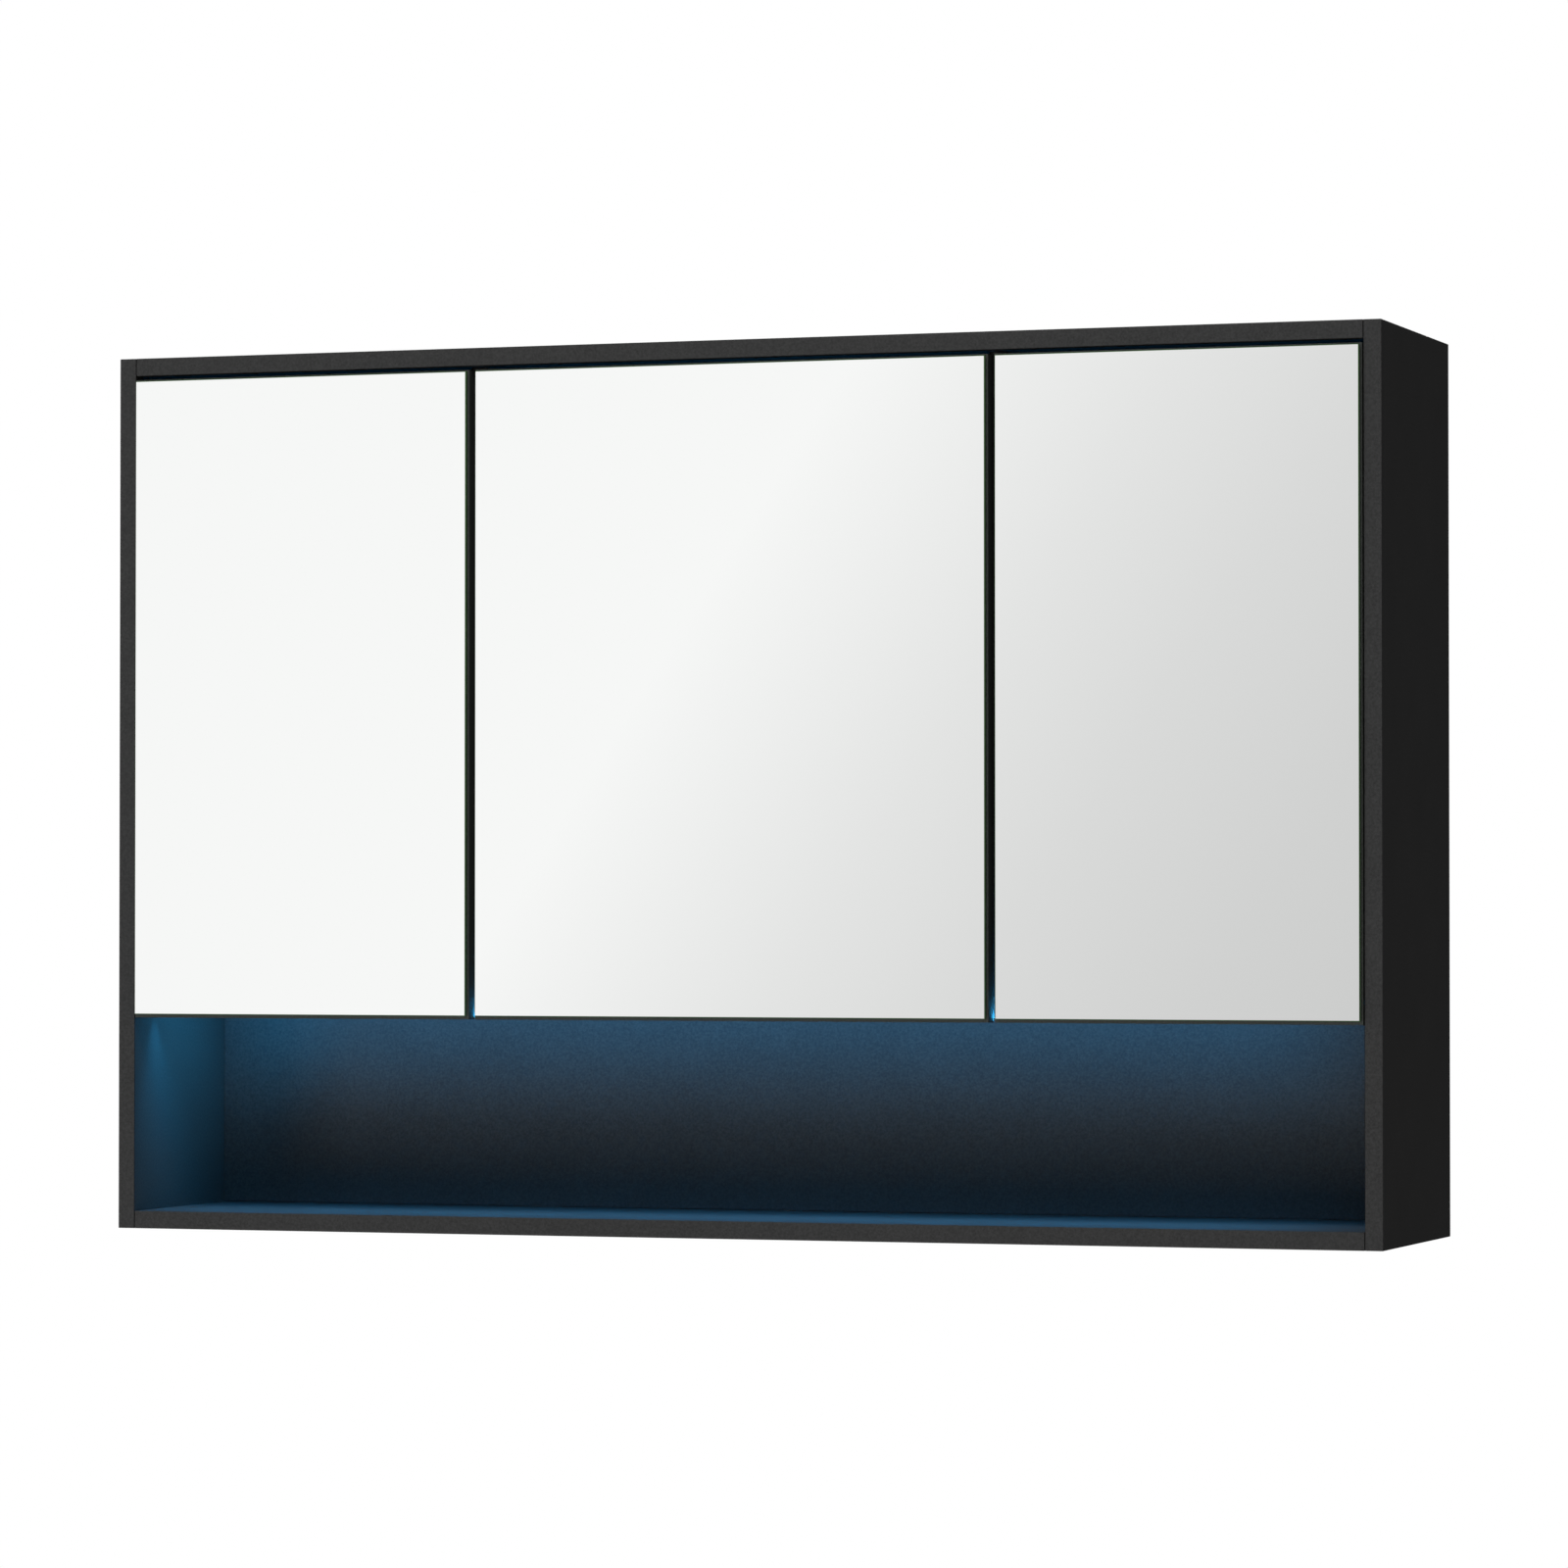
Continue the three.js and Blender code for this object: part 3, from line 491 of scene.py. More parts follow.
# %% Hinge screws
WING_FACE = 3.0 * MM
PLATE_HOLE = 16 * MM
CUP_HOLE = 22.2 * MM
FLANGE_FACE = 1.3 * MM
ARM_LINE = 14.5 * MM
ARM_HALF = 4.6 * MM
ARM_SCREWS = {"reach": 0.3, "fixing": 0.76}
SEAT_GAP = 0.02 * MM
places = {}
for side, end in hinge_places:
    inward = -1 if side == "right" else 1
    plate_low, plate_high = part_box(f"mounting_plate_{side}_{end}")
    plate_middle = (plate_low + plate_high) / 2
    plate_back = plate_low.x if inward > 0 else plate_high.x
    cup_low, cup_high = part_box(f"hinge_cup_{side}_{end}")
    cup_middle = (cup_low + cup_high) / 2
    door_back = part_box(f"door_board_{side}")[1].y
    for tag, step in (("upper", 1), ("lower", -1)):
        seat = Vector((plate_back + inward * (WING_FACE + SEAT_GAP), plate_middle.y,
                       plate_middle.z + step * PLATE_HOLE))
        places[f"plate_screw_{side}_{end}_{tag}"] = (
            "cabinet", facing(seat, (inward, 0, 0), 20 * step))
        seat = Vector((cup_middle.x, door_back + FLANGE_FACE + SEAT_GAP,
                       cup_middle.z + step * CUP_HOLE))
        places[f"cup_screw_{side}_{end}_{tag}"] = (f"door_{side}", facing(seat, (0, 1, 0), 35 * step))
    web = plate_back + inward * (ARM_LINE + ARM_HALF + SEAT_GAP)
    for tag, share in ARM_SCREWS.items():
        seat = Vector((web, plate_low.y + share * (plate_high.y - plate_low.y), plate_middle.z))
        places[f"arm_screw_{side}_{end}_{tag}"] = ("cabinet", facing(seat, (inward, 0, 0), 50 * share))
made = copies(pattern, places, "hinge_steel", nickel)
print("hinge screws:", len(made))

# %% [markdown]
# ## Glass shelves on pins
#
# The shelves are 5 mm clear float glass with ground edges. From above the glass is almost
# invisible, and its edges are green, because there the eye looks through the whole depth of the
# pane. The shader is clear glass, and a mask on the normal gives the narrow edge faces the green.
# Each shelf rests on four plated pins with a collar against the board and a soft clear pad.

# %% Clear glass
clear_glass, tree, shader = start_material("clear_float_glass", {
    "IOR": 1.52, "Transmission Weight": 1.0})
place = add_node(tree, "ShaderNodeTexCoord").outputs["Object"]
haze = add_node(tree, "ShaderNodeTexNoise", inputs={
    "Vector": place, "Scale": 1 / (40 * MM), "Detail": 3.0}).outputs["Fac"]
upright = add_node(tree, "ShaderNodeSeparateXYZ", inputs={
    "Vector": add_node(tree, "ShaderNodeNewGeometry").outputs["Normal"]}).outputs["Z"]
flat = add_node(tree, "ShaderNodeMath", {"operation": "ABSOLUTE"}, {0: upright}).outputs[0]
edge = add_node(tree, "ShaderNodeMath", {"operation": "LESS_THAN"}, {0: flat, 1: 0.9}).outputs[0]
tint = add_node(tree, "ShaderNodeMix", {"data_type": "RGBA"}, {
    0: edge, 6: colour("F2F9F6"), 7: colour("7FAE98")}).outputs[2]
rough = add_node(tree, "ShaderNodeMapRange", inputs={
    "Value": haze, "To Min": 0.0, "To Max": 0.03}).outputs["Result"]
rough = add_node(tree, "ShaderNodeMix", inputs={0: edge, 2: rough, 3: 0.12}).outputs[0]
tree.links.new(tint, shader.inputs["Base Color"])
tree.links.new(rough, shader.inputs["Roughness"])

shelves = [f"glass_shelf_{bay}_{level}" for bay in ("left", "middle", "right") for level in (1, 2)]
for shelf in shelves:
    finish_node(shelf, clear_glass, 0.5 * MM, segments=1)
print("glass shelves:", len(shelves))

# %% Shelf pins
PIN_RADIUS = 2.5 * MM
PIN_REACH = 9 * MM
COLLAR = 4 * MM
COLLAR_DEPTH = 1.2 * MM
WALL_TO_GLASS = 2 * MM
PAD = 0.8 * MM
PAD_HALF = 1.9 * MM
PIN_FROM_EDGE = 28 * MM
pin = new_piece(bpy.ops.mesh.primitive_cylinder_add, "shelf_pin", vertices=24, radius=COLLAR,
                depth=COLLAR_DEPTH, location=(0, 0, COLLAR_DEPTH / 2))
with editing(pin, "FACE", lambda middle, normal: normal.z > 0.9):
    bpy.ops.mesh.inset(thickness=COLLAR - PIN_RADIUS)
    extrude((0, 0, PIN_REACH - COLLAR_DEPTH))
    bpy.ops.mesh.bevel(offset=0.5 * MM, segments=2, affect="EDGES")
with editing(pin, "FACE", lambda middle, normal: True):
    bpy.ops.mesh.bisect(plane_co=(0, PIN_RADIUS - PAD / 2, 0), plane_no=(0, 1, 0), use_fill=True,
                        clear_outer=True)
pin_top = PIN_RADIUS - PAD / 2

pad = block("shelf_pad", (-PAD_HALF, pin_top + SEAT_GAP, 2.6 * MM),
            (PAD_HALF, pin_top + PAD, PIN_REACH - 0.6 * MM))
with editing(pad, "EDGE", lambda middle, way: middle.y > pin_top + PAD / 2):
    bpy.ops.mesh.bevel(offset=0.3 * MM, segments=2, affect="EDGES")

pin_places, pad_places = {}, {}
for shelf in shelves:
    low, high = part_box(shelf)
    for tag, x, inward in (("l", low.x - WALL_TO_GLASS, 1), ("r", high.x + WALL_TO_GLASS, -1)):
        for row, y in (("front", low.y + PIN_FROM_EDGE), ("back", high.y - PIN_FROM_EDGE)):
            # the pin's own Z runs into the bay and its own Y stays up
            aim = Matrix(((0, 0, inward), (inward, 0, 0), (0, 1, 0))).to_4x4()
            seat = Matrix.Translation((x, y, low.z - SEAT_GAP - pin_top - PAD)) @ aim
            pin_places[f"pin_{shelf[12:]}_{tag}_{row}"] = ("cabinet", seat)
            pad_places[f"pad_{shelf[12:]}_{tag}_{row}"] = ("cabinet", seat)
pins = copies(pin, pin_places, "hinge_steel", nickel)
print("shelf pins:", len(pins))

# %% [markdown]
# ## Plastics
#
# Injection moulding copies the texture of its mould, so plastic parts get a fine, even bump in
# place of a pattern. The switch is spark-textured ABS, the gland is smoother nylon, the driver is a
# light grey polycarbonate, the lead is soft PVC, and the door buffers and shelf pads are clear
# silicone, which lets light through and blurs it.

# %% Plastic materials
def moulded_plastic(name, light, dark, grain, roughness, depth=0.03 * MM, **sockets):
    """A moulded plastic with a mould texture of a real size."""
    made, tree, shader = start_material(name, {k.replace("_", " "): v for k, v in sockets.items()})
    place = add_node(tree, "ShaderNodeTexCoord").outputs["Object"]
    texture = add_node(tree, "ShaderNodeTexNoise", inputs={
        "Vector": place, "Scale": 1 / grain, "Detail": 2.0}).outputs["Fac"]
    tone = add_node(tree, "ShaderNodeMix", {"data_type": "RGBA"}, {
        0: texture, 6: colour(dark), 7: colour(light)}).outputs[2]
    rough = add_node(tree, "ShaderNodeMapRange", inputs={
        "Value": texture, "To Min": roughness[0], "To Max": roughness[1]}).outputs["Result"]
    bump = add_node(tree, "ShaderNodeBump", inputs={
        "Strength": 0.5, "Distance": depth, "Height": texture})
    tree.links.new(tone, shader.inputs["Base Color"])
    tree.links.new(rough, shader.inputs["Roughness"])
    tree.links.new(bump.outputs["Normal"], shader.inputs["Normal"])
    return made


abs_black = moulded_plastic("spark_textured_abs", "202122", "161718", 0.8 * MM, (0.45, 0.6))
rocker_black = moulded_plastic("polished_abs", "1B1C1D", "151617", 5 * MM, (0.18, 0.26), 0.005 * MM)
nylon_black = moulded_plastic("moulded_nylon", "242526", "1B1C1D", 2 * MM, (0.38, 0.5))
driver_grey = moulded_plastic("moulded_polycarbonate", "E8E8E4", "DCDCD7", 0.9 * MM, (0.42, 0.55))
pvc_black = moulded_plastic("extruded_pvc", "1E1F20", "141516", 1.5 * MM, (0.4, 0.5))
cap_graphite = moulded_plastic("moulded_abs_cap", "404040", "363636", 0.8 * MM, (0.5, 0.62))
silicone = moulded_plastic("clear_silicone", "EEF1F0", "E2E7E6", 3 * MM, (0.2, 0.3), 0.01 * MM,
                           Transmission_Weight=0.8, IOR=1.41)
pads = copies(pad, pad_places, "shelf_glass", silicone)
print("shelf pads:", len(pads))

# %% [markdown]
# ## Door buffers and cam covers
#
# The doors close on small clear silicone domes stuck to the front edge of the fixed shelf. The
# carcass is pulled together by cam fittings, which are let into the boards and hidden under press-in
# caps. Both are short cylinders with a rounded rim, and the cap also has a shallow dish.

# %% Door buffers
BUFFER_RADIUS = 4 * MM
BUFFER_FROM_EDGE = 30 * MM
BUFFER_TO_DOOR = 0.1 * MM
shelf_low, shelf_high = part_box("fixed_shelf")
door_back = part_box("door_board_left")[1].y
buffer_height = shelf_front - door_back - BUFFER_TO_DOOR
pattern = new_piece(bpy.ops.mesh.primitive_cylinder_add, "buffer", vertices=28, radius=BUFFER_RADIUS,
                    depth=buffer_height, location=(0, 0, buffer_height / 2))
with editing(pattern, "EDGE", lambda middle, way: middle.z > 0.9 * buffer_height):
    bpy.ops.mesh.bevel(offset=0.55 * buffer_height, segments=5, affect="EDGES")
places = {}
for side in ("left", "middle", "right"):
    low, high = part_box(f"door_board_{side}")
    for tag, x in (("a", low.x + BUFFER_FROM_EDGE), ("b", high.x - BUFFER_FROM_EDGE)):
        seat = Vector((x, shelf_front - SEAT_GAP, (shelf_low.z + shelf_high.z) / 2))
        places[f"door_buffer_{side}_{tag}"] = ("cabinet", facing(seat, (0, -1, 0)))
made = copies(pattern, places, "shelf_glass", silicone)
print("door buffers:", len(made), "each", round(buffer_height / MM, 2), "mm high")

# %% Cam covers
CAP_RADIUS = 8.5 * MM
CAP_HEIGHT = 1.2 * MM
CAM_FROM_END = 34 * MM
CAM_FROM_FRONT = {"front": 45 * MM, "rear": 150 * MM}
pattern = new_piece(bpy.ops.mesh.primitive_cylinder_add, "cam_cap", vertices=40, radius=CAP_RADIUS,
                    depth=CAP_HEIGHT, location=(0, 0, CAP_HEIGHT / 2))
with editing(pattern, "EDGE", lambda middle, way: middle.z > 0.9 * CAP_HEIGHT):
    bpy.ops.mesh.bevel(offset=0.5 * MM, segments=3, affect="EDGES")
with editing(pattern, "FACE", lambda middle, normal: normal.z > 0.99):
    bpy.ops.mesh.inset(thickness=1.5 * MM)
    bpy.ops.mesh.inset(thickness=1.0 * MM, depth=-0.35 * MM)
places = {}
inner_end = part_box("top_panel")[1].x
for board, direction in (("top_panel", 1), ("bottom_panel", -1), ("fixed_shelf", 1)):
    low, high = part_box(board)
    z = high.z + SEAT_GAP if direction > 0 else low.z - SEAT_GAP
    for tag, x in (("left", -inner_end + CAM_FROM_END), ("right", inner_end - CAM_FROM_END)):
        for row, depth in CAM_FROM_FRONT.items():
            places[f"cam_cap_{board}_{tag}_{row}"] = (
                "cabinet", facing((x, low.y + depth, z), (0, 0, direction)))
made = copies(pattern, places, "black_plastic", cap_graphite)
print("cam covers:", len(made))

# %% [markdown]
# ## The light
#
# An aluminium channel under the fixed shelf holds a strip of blue diodes behind a satin diffuser
# that faces the niche's back. The diffuser spreads each diode's point into an even band, so it is
# the diffuser that glows. The diodes are one small block with a sunk lens, repeated by an array
# every 1/60 m, as on a common strip.

# %% Light materials
LED_BLUE = "36B4FF"
opal, tree, shader = start_material("satin_acrylic_diffuser", {
    "IOR": 1.49, "Base Color": colour("DDEBF5"), "Emission Color": colour(LED_BLUE),
    "Emission Strength": 8.0})
place = add_node(tree, "ShaderNodeTexCoord").outputs["Object"]
satin = add_node(tree, "ShaderNodeTexNoise", inputs={"Vector": place, "Scale": 1 / (0.8 * MM)})
rough = add_node(tree, "ShaderNodeMapRange", inputs={
    "Value": satin.outputs["Fac"], "To Min": 0.45, "To Max": 0.6}).outputs["Result"]
tree.links.new(rough, shader.inputs["Roughness"])
circuit = moulded_plastic("white_solder_mask", "F4F4F0", "E6E6E0", 3 * MM, (0.35, 0.5), 0.01 * MM)
diode = moulded_plastic("diode_lens", "EFE3A0", "E4D58A", 1 * MM, (0.15, 0.25), 0.005 * MM)
finish_node("led_channel", aluminium, 0.3 * MM)
finish_node("led_strip", circuit, 0.1 * MM, segments=1)
finish_node("led_diffuser", opal, 0.25 * MM)
for end in ("left", "right"):
    finish_node(f"led_end_cap_{end}", nylon_black, 0.3 * MM)

# %% Diodes
CHIP_SIZE = Vector((3.5, 0.7, 2.8)) * MM
CHIP_PITCH = 1 / 60
strip_low, strip_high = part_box("led_strip")
chip_count = int((strip_high.x - strip_low.x) / CHIP_PITCH)
first = (strip_low.x + strip_high.x) / 2 - (chip_count - 1) / 2 * CHIP_PITCH
strip_middle = (strip_low.z + strip_high.z) / 2
base = Vector((first - CHIP_SIZE.x / 2, strip_high.y + SEAT_GAP, strip_middle - CHIP_SIZE.z / 2))
diodes = block("led_diodes", base, base + CHIP_SIZE)
with editing(diodes, "FACE", lambda middle, normal: normal.y > 0.9):
    bpy.ops.mesh.inset(thickness=0.35 * MM)
    bpy.ops.mesh.inset(thickness=0.2 * MM, depth=-0.2 * MM)
repeat(diodes, chip_count, CHIP_PITCH)
settle(diodes, "cabinet", "led_circuit", diode)
print("diodes:", chip_count)

# %% [markdown]
# ## Switch, driver and wiring
#
# The switch sits at the light's right end, out of sight but in reach of a finger. Its low-voltage
# lead runs back under the shelf, turns down behind the niche and enters the driver, which stands in
# the space behind the back panel. The lead is drawn the way a pipe fitter makes one: a ring is
# extruded along each straight, and spun round a centre for each bend.

# %% Switch and housings
finish_node("switch_housing", abs_black, 0.4 * MM, segments=3)
finish_node("switch_rocker", rocker_black, 0.3 * MM, segments=3)
finish_node("led_driver", driver_grey, 0.8 * MM, segments=3)
finish_node("cable_gland", nylon_black, 0.3 * MM)
print("switch, driver and gland finished")

# %% Lead
LEAD_RADIUS = 2 * MM
LEAD_BEND = 12 * MM
lead_low, lead_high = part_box("led_lead")
run_x = lead_high.x - LEAD_RADIUS
run_y = lead_high.y - LEAD_RADIUS
run_z = lead_high.z - LEAD_RADIUS
foot_z = lead_low.z + LEAD_RADIUS
lead = new_piece(bpy.ops.mesh.primitive_circle_add, "led_lead_sleeve", vertices=20,
                 radius=LEAD_RADIUS, fill_type="NGON", location=(run_x, lead_low.y, run_z),
                 rotation=(math.radians(90), 0, 0))
with editing(lead, "FACE", lambda middle, normal: True):
    extrude((0, run_y - LEAD_BEND - lead_low.y, 0))
    bpy.ops.mesh.spin(steps=10, angle=math.radians(90), axis=(1, 0, 0),
                      center=(run_x, run_y - LEAD_BEND, run_z - LEAD_BEND))
    extrude((0, 0, -(run_z - foot_z - 2 * LEAD_BEND)))
    bpy.ops.mesh.spin(steps=10, angle=math.radians(-90), axis=(0, 1, 0),
                      center=(run_x - LEAD_BEND, run_y, foot_z + LEAD_BEND))
    extrude((lead_low.x - (run_x - LEAD_BEND), 0, 0))
    bpy.ops.mesh.select_all(action="SELECT")
    bpy.ops.mesh.remove_doubles(threshold=0.01 * MM)
    bpy.ops.mesh.normals_make_consistent(inside=False)
settle(lead, "cabinet", "black_plastic", pvc_black)
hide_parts("led_lead")
spans = [sorted(v.co[axis] for v in lead.data.vertices) for axis in range(3)]
print("lead measures", [round((span[-1] - span[0]) / MM, 1) for span in spans],
      "CAD", [round(s / MM, 1) for s in lead_high - lead_low])

# %% Lead clips
CLIP_WALL = 0.9 * MM
CLIP_HALF = 3.5 * MM
CLIP_GAP = 0.05 * MM
CLIP_FROM_FRONT = (75 * MM, 150 * MM)
ceiling = shelf_low.z
pattern = block("lead_clip", (run_x + LEAD_RADIUS + CLIP_GAP, -CLIP_HALF, run_z),
                (run_x + LEAD_RADIUS + CLIP_WALL, CLIP_HALF, ceiling - CLIP_GAP))
with editing(pattern, "FACE", lambda middle, normal: normal.z < -0.9):
    bpy.ops.mesh.spin(steps=12, angle=math.radians(-180), axis=(0, 1, 0), center=(run_x, 0, run_z))
    extrude((0, 0, ceiling - CLIP_GAP - run_z))
places = {f"lead_clip_{number}": ("cabinet", Matrix.Translation((0, shelf_front + depth, 0)))
          for number, depth in enumerate(CLIP_FROM_FRONT, 1)}
made = copies(pattern, places, "black_plastic", nylon_black)
print("lead clips:", len(made))

# %% Driver lid
LID_HEIGHT = 1.2 * MM
LID_INSET = 3 * MM
LID_RISE = 0.3 * MM
DRIVER_FOOT = 12 * MM
low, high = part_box("led_driver")
body_low = Vector((low.x + DRIVER_FOOT, low.y, low.z))
body_high = Vector((high.x - DRIVER_FOOT, high.y, high.z))
lid = block("driver_lid", (body_low.x + LID_INSET, high.y + SEAT_GAP, low.z + LID_INSET),
            (body_high.x - LID_INSET, high.y + LID_HEIGHT, high.z - LID_INSET))
with editing(lid, "EDGE", lambda middle, way: abs(way.y) > 0.9):
    bpy.ops.mesh.bevel(offset=4 * MM, segments=6, affect="EDGES")
with editing(lid, "FACE", lambda middle, normal: normal.y > 0.9):
    bpy.ops.mesh.inset(thickness=0.5 * MM, depth=LID_RISE)
settle(lid, "cabinet", "driver_plastic", driver_grey)

RIB_SIZE = Vector((1.2, 0.9, 14)) * MM
RIB_INSET = Vector((30, 0.7, 15)) * MM
RIB_COUNT = 23
RIB_PITCH = 4 * MM
rib_low = Vector((body_low.x + RIB_INSET.x, high.y + RIB_INSET.y, low.z + RIB_INSET.z))
ribs = block("driver_ribs", rib_low, rib_low + RIB_SIZE)
with editing(ribs, "EDGE", lambda middle, way: middle.y > rib_low.y + 0.5 * MM):
    bpy.ops.mesh.bevel(offset=0.3 * MM, segments=2, affect="EDGES")
repeat(ribs, RIB_COUNT, RIB_PITCH)
settle(ribs, "cabinet", "driver_plastic", driver_grey)
print("lid and ribs finished")

# %% Gland seal
SEAL_RING = 3.9 * MM
SEAL_TUBE = 0.8 * MM
SEAL_INSET = 0.4 * MM
SEAL_BULGE = 0.3 * MM
gland_low, gland_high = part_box("cable_gland")
gland_middle = (gland_low + gland_high) / 2
seal = new_piece(bpy.ops.mesh.primitive_torus_add, "gland_seal", location=(
    gland_low.x + SEAL_INSET, gland_middle.y, gland_middle.z), rotation=(0, math.radians(90), 0),
    major_radius=SEAL_RING, minor_radius=SEAL_TUBE, major_segments=32, minor_segments=12)
with editing(seal, "FACE", lambda middle, normal: normal.x < -0.5):
    bpy.ops.transform.translate(value=(-SEAL_BULGE, 0, 0))
settle(seal, "cabinet", "black_plastic", pvc_black)
print("gland seal at x =", round(gland_low.x / MM, 1), "mm")

# %% [markdown]
# ## Hanging hardware
#
# The cabinet hooks onto two wall plates. Each hanger is a folded box in an upper rear corner, and it
# is screwed to the side panel. Larger screws hold the wall plates, the hangers and the driver's feet.

# %% Hangers and their screws
for end in ("left", "right"):
    finish_node(f"hanger_bracket_{end}", zinc, 0.4 * MM)
    finish_node(f"wall_plate_{end}", zinc, 0.4 * MM)
HANGER_SCREW_DEPTH = 14 * MM
HANGER_FACE = 28 * MM
UPPER_DROP = 22 * MM
LOWER_RISE = 12 * MM
ADJUSTER_DROP = 8 * MM
FOOT_FACE = 3 * MM
pattern = screw_head(4.2 * MM, 2.0 * MM)
places = {}
for end, inward in (("left", 1), ("right", -1)):
    low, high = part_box(f"hanger_bracket_{end}")
    inner = (high.x if inward > 0 else low.x) + inward * SEAT_GAP
    rear = low.y + HANGER_FACE + SEAT_GAP
    for tag, z in (("upper", high.z - UPPER_DROP), ("lower", low.z + LOWER_RISE)):
        seat = (inner, low.y + HANGER_SCREW_DEPTH, z)
        places[f"hanger_screw_{end}_{tag}"] = ("cabinet", facing(seat, (inward, 0, 0), 15))
        seat = ((low.x + high.x) / 2, rear, z - ADJUSTER_DROP)
        places[f"hanger_adjuster_{end}_{tag}"] = ("cabinet", facing(seat, (0, 1, 0), 40))
low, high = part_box("led_driver")
for tag, x in (("left", low.x + DRIVER_FOOT / 2), ("right", high.x - DRIVER_FOOT / 2)):
    seat = (x, low.y + FOOT_FACE + SEAT_GAP, (low.z + high.z) / 2)
    places[f"driver_screw_{tag}"] = ("cabinet", facing(seat, (0, 1, 0), 10))
made = copies(pattern, places, "zinc_steel", zinc)
print("zinc screws:", len(made))

# %% [markdown]
# ## Studio
#
# The cabinet hangs in a bright, even studio. The world is white to the camera, softer as light so
# that the graphite stays dark, and dim behind the cabinet, which keeps its right side darker than
# its front. Two large soft lights stand low at the front, the stronger one on the left, a third
# hangs above, and a fourth behind shows the cabinet's back. Lamps of the light strip's colour,
# beside its diffuser, help it to light the niche. The mirrors show a card with a slow gradient.
# The floor is a pale disc, well below the cabinet, that fades out before its edge. It can't be
# seen from underneath, so the underside stays in view.

# %% World
DIFFUSE_LEVEL = 0.17
FRONT_GLOSS, REAR_GLOSS = 1.0, 0.06
world = bpy.data.worlds.new("Studio")
bpy.context.scene.world = world
world.use_nodes = True
tree = world.node_tree
background = tree.nodes["Background"]
ray = add_node(tree, "ShaderNodeLightPath").outputs
direction = add_node(tree, "ShaderNodeTexCoord").outputs["Generated"]
toward_back = add_node(tree, "ShaderNodeSeparateXYZ", inputs={"Vector": direction}).outputs["Y"]
gloss = add_node(tree, "ShaderNodeMapRange", inputs={
    "Value": toward_back, "From Min": -0.55, "From Max": -0.1,
    "To Min": FRONT_GLOSS, "To Max": REAR_GLOSS}).outputs["Result"]
light = add_node(tree, "ShaderNodeMix", inputs={
    0: ray["Is Glossy Ray"], 2: DIFFUSE_LEVEL, 3: gloss}).outputs[0]
light = add_node(tree, "ShaderNodeMix", inputs={0: ray["Is Camera Ray"], 2: light, 3: 1.0}).outputs[0]
tree.links.new(light, background.inputs["Strength"])
background.inputs["Color"].default_value = (1, 1, 1, 1)
bpy.context.scene.view_settings.view_transform = "Standard"
print("world nodes:", len(tree.nodes))

# %% Lights
def area_light(name, location, target, size, power, tint="FFFFFF", spread=180):
    """A soft rectangular light aimed at a point. Mirrors and metal don't show it unless told to."""
    data = bpy.data.lights.new(name, "AREA")
    data.shape = "RECTANGLE"
    data.size, data.size_y = size
    data.energy = power
    data.color = colour(tint)[:3]
    data.spread = math.radians(spread)
    lamp = bpy.data.objects.new(name, data)
    lamp.location = location
    lamp.rotation_euler = (Vector(target) - Vector(location)).to_track_quat("-Z", "Y").to_euler()
    lamp.visible_glossy = False
    bpy.context.collection.objects.link(lamp)
    return lamp


CENTRE = (0, 0, 0.4)
area_light("key_light", (-3.4, -6.2, -1.9), CENTRE, (2.2, 2.6), 152)
area_light("fill_light", (1.6, -6.2, -1.9), CENTRE, (1.6, 2.6), 60)
area_light("top_light", (0.1, -2.6, 4.0), CENTRE, (1.0, 1.0), 75)
# the zinc plates need something bright to reflect
rear_light = area_light("rear_light", (-0.9, 5.5, 1.5), CENTRE, (2.4, 1.5), 220)
rear_light.visible_glossy = True
diffuser_low, diffuser_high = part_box("led_diffuser")
glow_z = (diffuser_low.z + diffuser_high.z) / 2
glow_x = (diffuser_low.x + diffuser_high.x) / 2
glow_length = diffuser_high.x - diffuser_low.x
GLOW_WIDTH = 12 * MM
area_light("niche_glow", (glow_x, diffuser_high.y + 3 * MM, glow_z), (glow_x, 0.2, glow_z),
           (glow_length, GLOW_WIDTH), 0.74, LED_BLUE, spread=74)
area_light("floor_glow", (glow_x, diffuser_high.y + 8 * MM, diffuser_low.z - 2 * MM),
           (glow_x, diffuser_high.y + 30 * MM, 0), (glow_length, GLOW_WIDTH), 1.45, LED_BLUE,
           spread=85)
# the strip's left end lights the niche's left wall
END_BLUE = "40B4F4"
end_place = Vector((diffuser_low.x + 0.17, diffuser_high.y + 60 * MM, diffuser_low.z - 4 * MM))
area_light("end_glow", end_place, end_place + Vector((-1, 0, -0.15)), (90 * MM, GLOW_WIDTH), 0.225,
           END_BLUE, spread=104)
# some light leaks up between the shelf's front edge and the doors
slot_y = (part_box("door_board_left")[1].y + shelf_front) / 2
area_light("slot_glow", (0, slot_y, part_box("door_board_left")[0].z + 1 * MM), (0, slot_y, 1),
           (1.16, 1.5 * MM), 3.0, LED_BLUE)

# %% Card and floor
CARD_LOW, CARD_HIGH = Vector((-2.25, 0, 0.0)), Vector((-0.1, 0, 1.2))
CARD_DISTANCE = 3.45
CARD_FADE = 0.8
CARD_SLOPE = math.radians(-33.84)
CARD_START, CARD_END = -1.4417, -0.2787
CARD_STOPS = ((0.0, 1.0), (0.138, 0.937), (0.358, 0.834), (0.573, 0.753), (0.829, 0.685),
              (1.0, 0.655))
middle = (CARD_LOW + CARD_HIGH) / 2
half = (CARD_HIGH - CARD_LOW) / 2
card = new_piece(bpy.ops.mesh.primitive_plane_add, "reflection_card", size=5.0,
                 location=(middle.x, -CARD_DISTANCE, middle.z), rotation=(math.radians(90), 0, 0))
paper, tree, shader = start_material("graduated_paper", {})
tree.nodes.remove(shader)
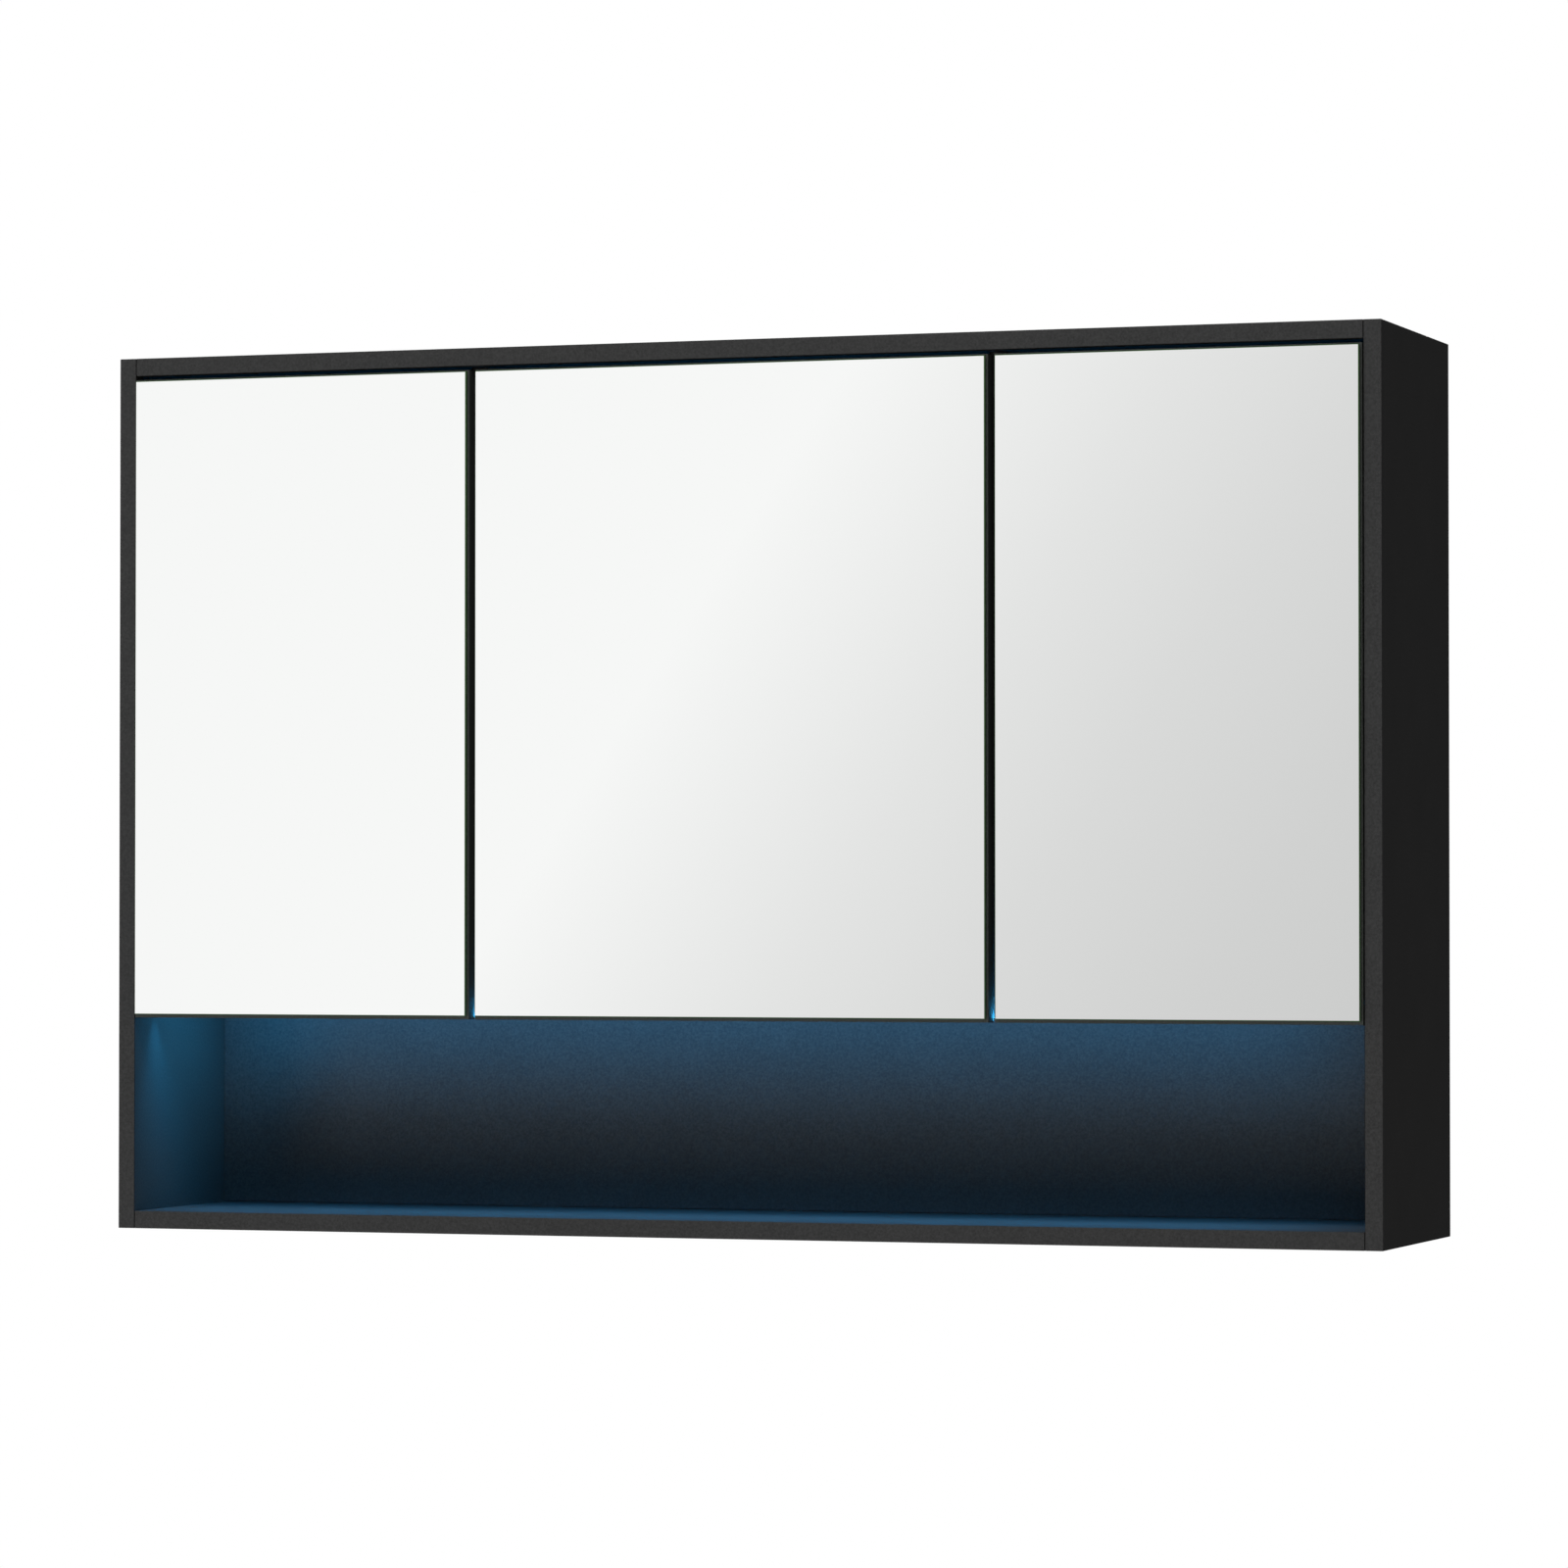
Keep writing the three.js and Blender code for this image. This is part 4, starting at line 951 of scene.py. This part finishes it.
place = add_node(tree, "ShaderNodeTexCoord").outputs["Object"]
along = add_node(tree, "ShaderNodeVectorMath", {"operation": "DOT_PRODUCT"}, {
    0: place, 1: (math.cos(CARD_SLOPE), 0, math.sin(CARD_SLOPE))}).outputs["Value"]
along = add_node(tree, "ShaderNodeMapRange", inputs={
    "Value": along, "From Min": CARD_START, "From Max": CARD_END}).outputs["Result"]
ramp = add_node(tree, "ShaderNodeValToRGB", inputs={"Fac": along})
for position, value in CARD_STOPS[1:-1]:
    ramp.color_ramp.elements.new(position)
for stop, (position, value) in zip(ramp.color_ramp.elements, CARD_STOPS):
    stop.position, stop.color = position, (value, value, value, 1)
axes = add_node(tree, "ShaderNodeSeparateXYZ", inputs={"Vector": place}).outputs
outside = []
for axis, centre, reach in (("X", middle.x, half.x), ("Z", middle.z, half.z)):
    offset = add_node(tree, "ShaderNodeMath", {"operation": "SUBTRACT"}, {
        0: axes[axis], 1: centre}).outputs[0]
    offset = add_node(tree, "ShaderNodeMath", {"operation": "ABSOLUTE"}, {0: offset}).outputs[0]
    outside.append(add_node(tree, "ShaderNodeMath", {"operation": "SUBTRACT"}, {
        0: offset, 1: reach}).outputs[0])
farther = add_node(tree, "ShaderNodeMath", {"operation": "MAXIMUM"}, {
    0: outside[0], 1: outside[1]}).outputs[0]
solid = add_node(tree, "ShaderNodeMapRange", {"interpolation_type": "SMOOTHSTEP"}, {
    "Value": farther, "From Min": 0.0, "From Max": CARD_FADE, "To Min": 1.0, "To Max": 0.0}).outputs["Result"]
glow = add_node(tree, "ShaderNodeEmission", inputs={"Color": ramp.outputs["Color"]}).outputs[0]
clear = add_node(tree, "ShaderNodeBsdfTransparent").outputs[0]
mix = add_node(tree, "ShaderNodeMixShader", inputs={0: solid, 1: clear, 2: glow}).outputs[0]
tree.links.new(mix, tree.nodes["Material Output"].inputs["Surface"])
card.data.materials.append(paper)
for kind in ("visible_camera", "visible_diffuse", "visible_shadow", "visible_transmission"):
    setattr(card, kind, False)

FLOOR_LEVEL = -1.2
FLOOR_RADIUS = 5.0
FADE_FROM = 1.5
floor = new_piece(bpy.ops.mesh.primitive_circle_add, "studio_floor", vertices=96, radius=FLOOR_RADIUS,
                  fill_type="NGON", location=(0, 0, FLOOR_LEVEL))
screed, tree, shader = start_material("pale_matt_floor", {
    "Base Color": colour("F2F1EF"), "Roughness": 0.8, "Emission Color": (1, 1, 1, 1),
    "Emission Strength": 0.85})
place = add_node(tree, "ShaderNodeTexCoord").outputs["Object"]
flat_place = add_node(tree, "ShaderNodeMapping", inputs={"Vector": place, "Scale": (1, 1, 0)}).outputs[0]
away = add_node(tree, "ShaderNodeVectorMath", {"operation": "LENGTH"}, {0: flat_place}).outputs["Value"]
fade = add_node(tree, "ShaderNodeMapRange", {"interpolation_type": "SMOOTHSTEP"}, {
    "Value": away,
    "From Min": FADE_FROM, "From Max": FLOOR_RADIUS, "To Min": 1.0, "To Max": 0.0}).outputs["Result"]
underside = add_node(tree, "ShaderNodeNewGeometry").outputs["Backfacing"]
fade = add_node(tree, "ShaderNodeMath", {"operation": "SUBTRACT", "use_clamp": True}, {
    0: fade, 1: underside}).outputs[0]
tree.links.new(fade, shader.inputs["Alpha"])
floor.data.materials.append(screed)
for kind in ("visible_diffuse", "visible_glossy", "visible_shadow"):
    setattr(floor, kind, False)
print("floor at", FLOOR_LEVEL, "m, card", [round(v, 2) for v in CARD_HIGH - CARD_LOW], "m")
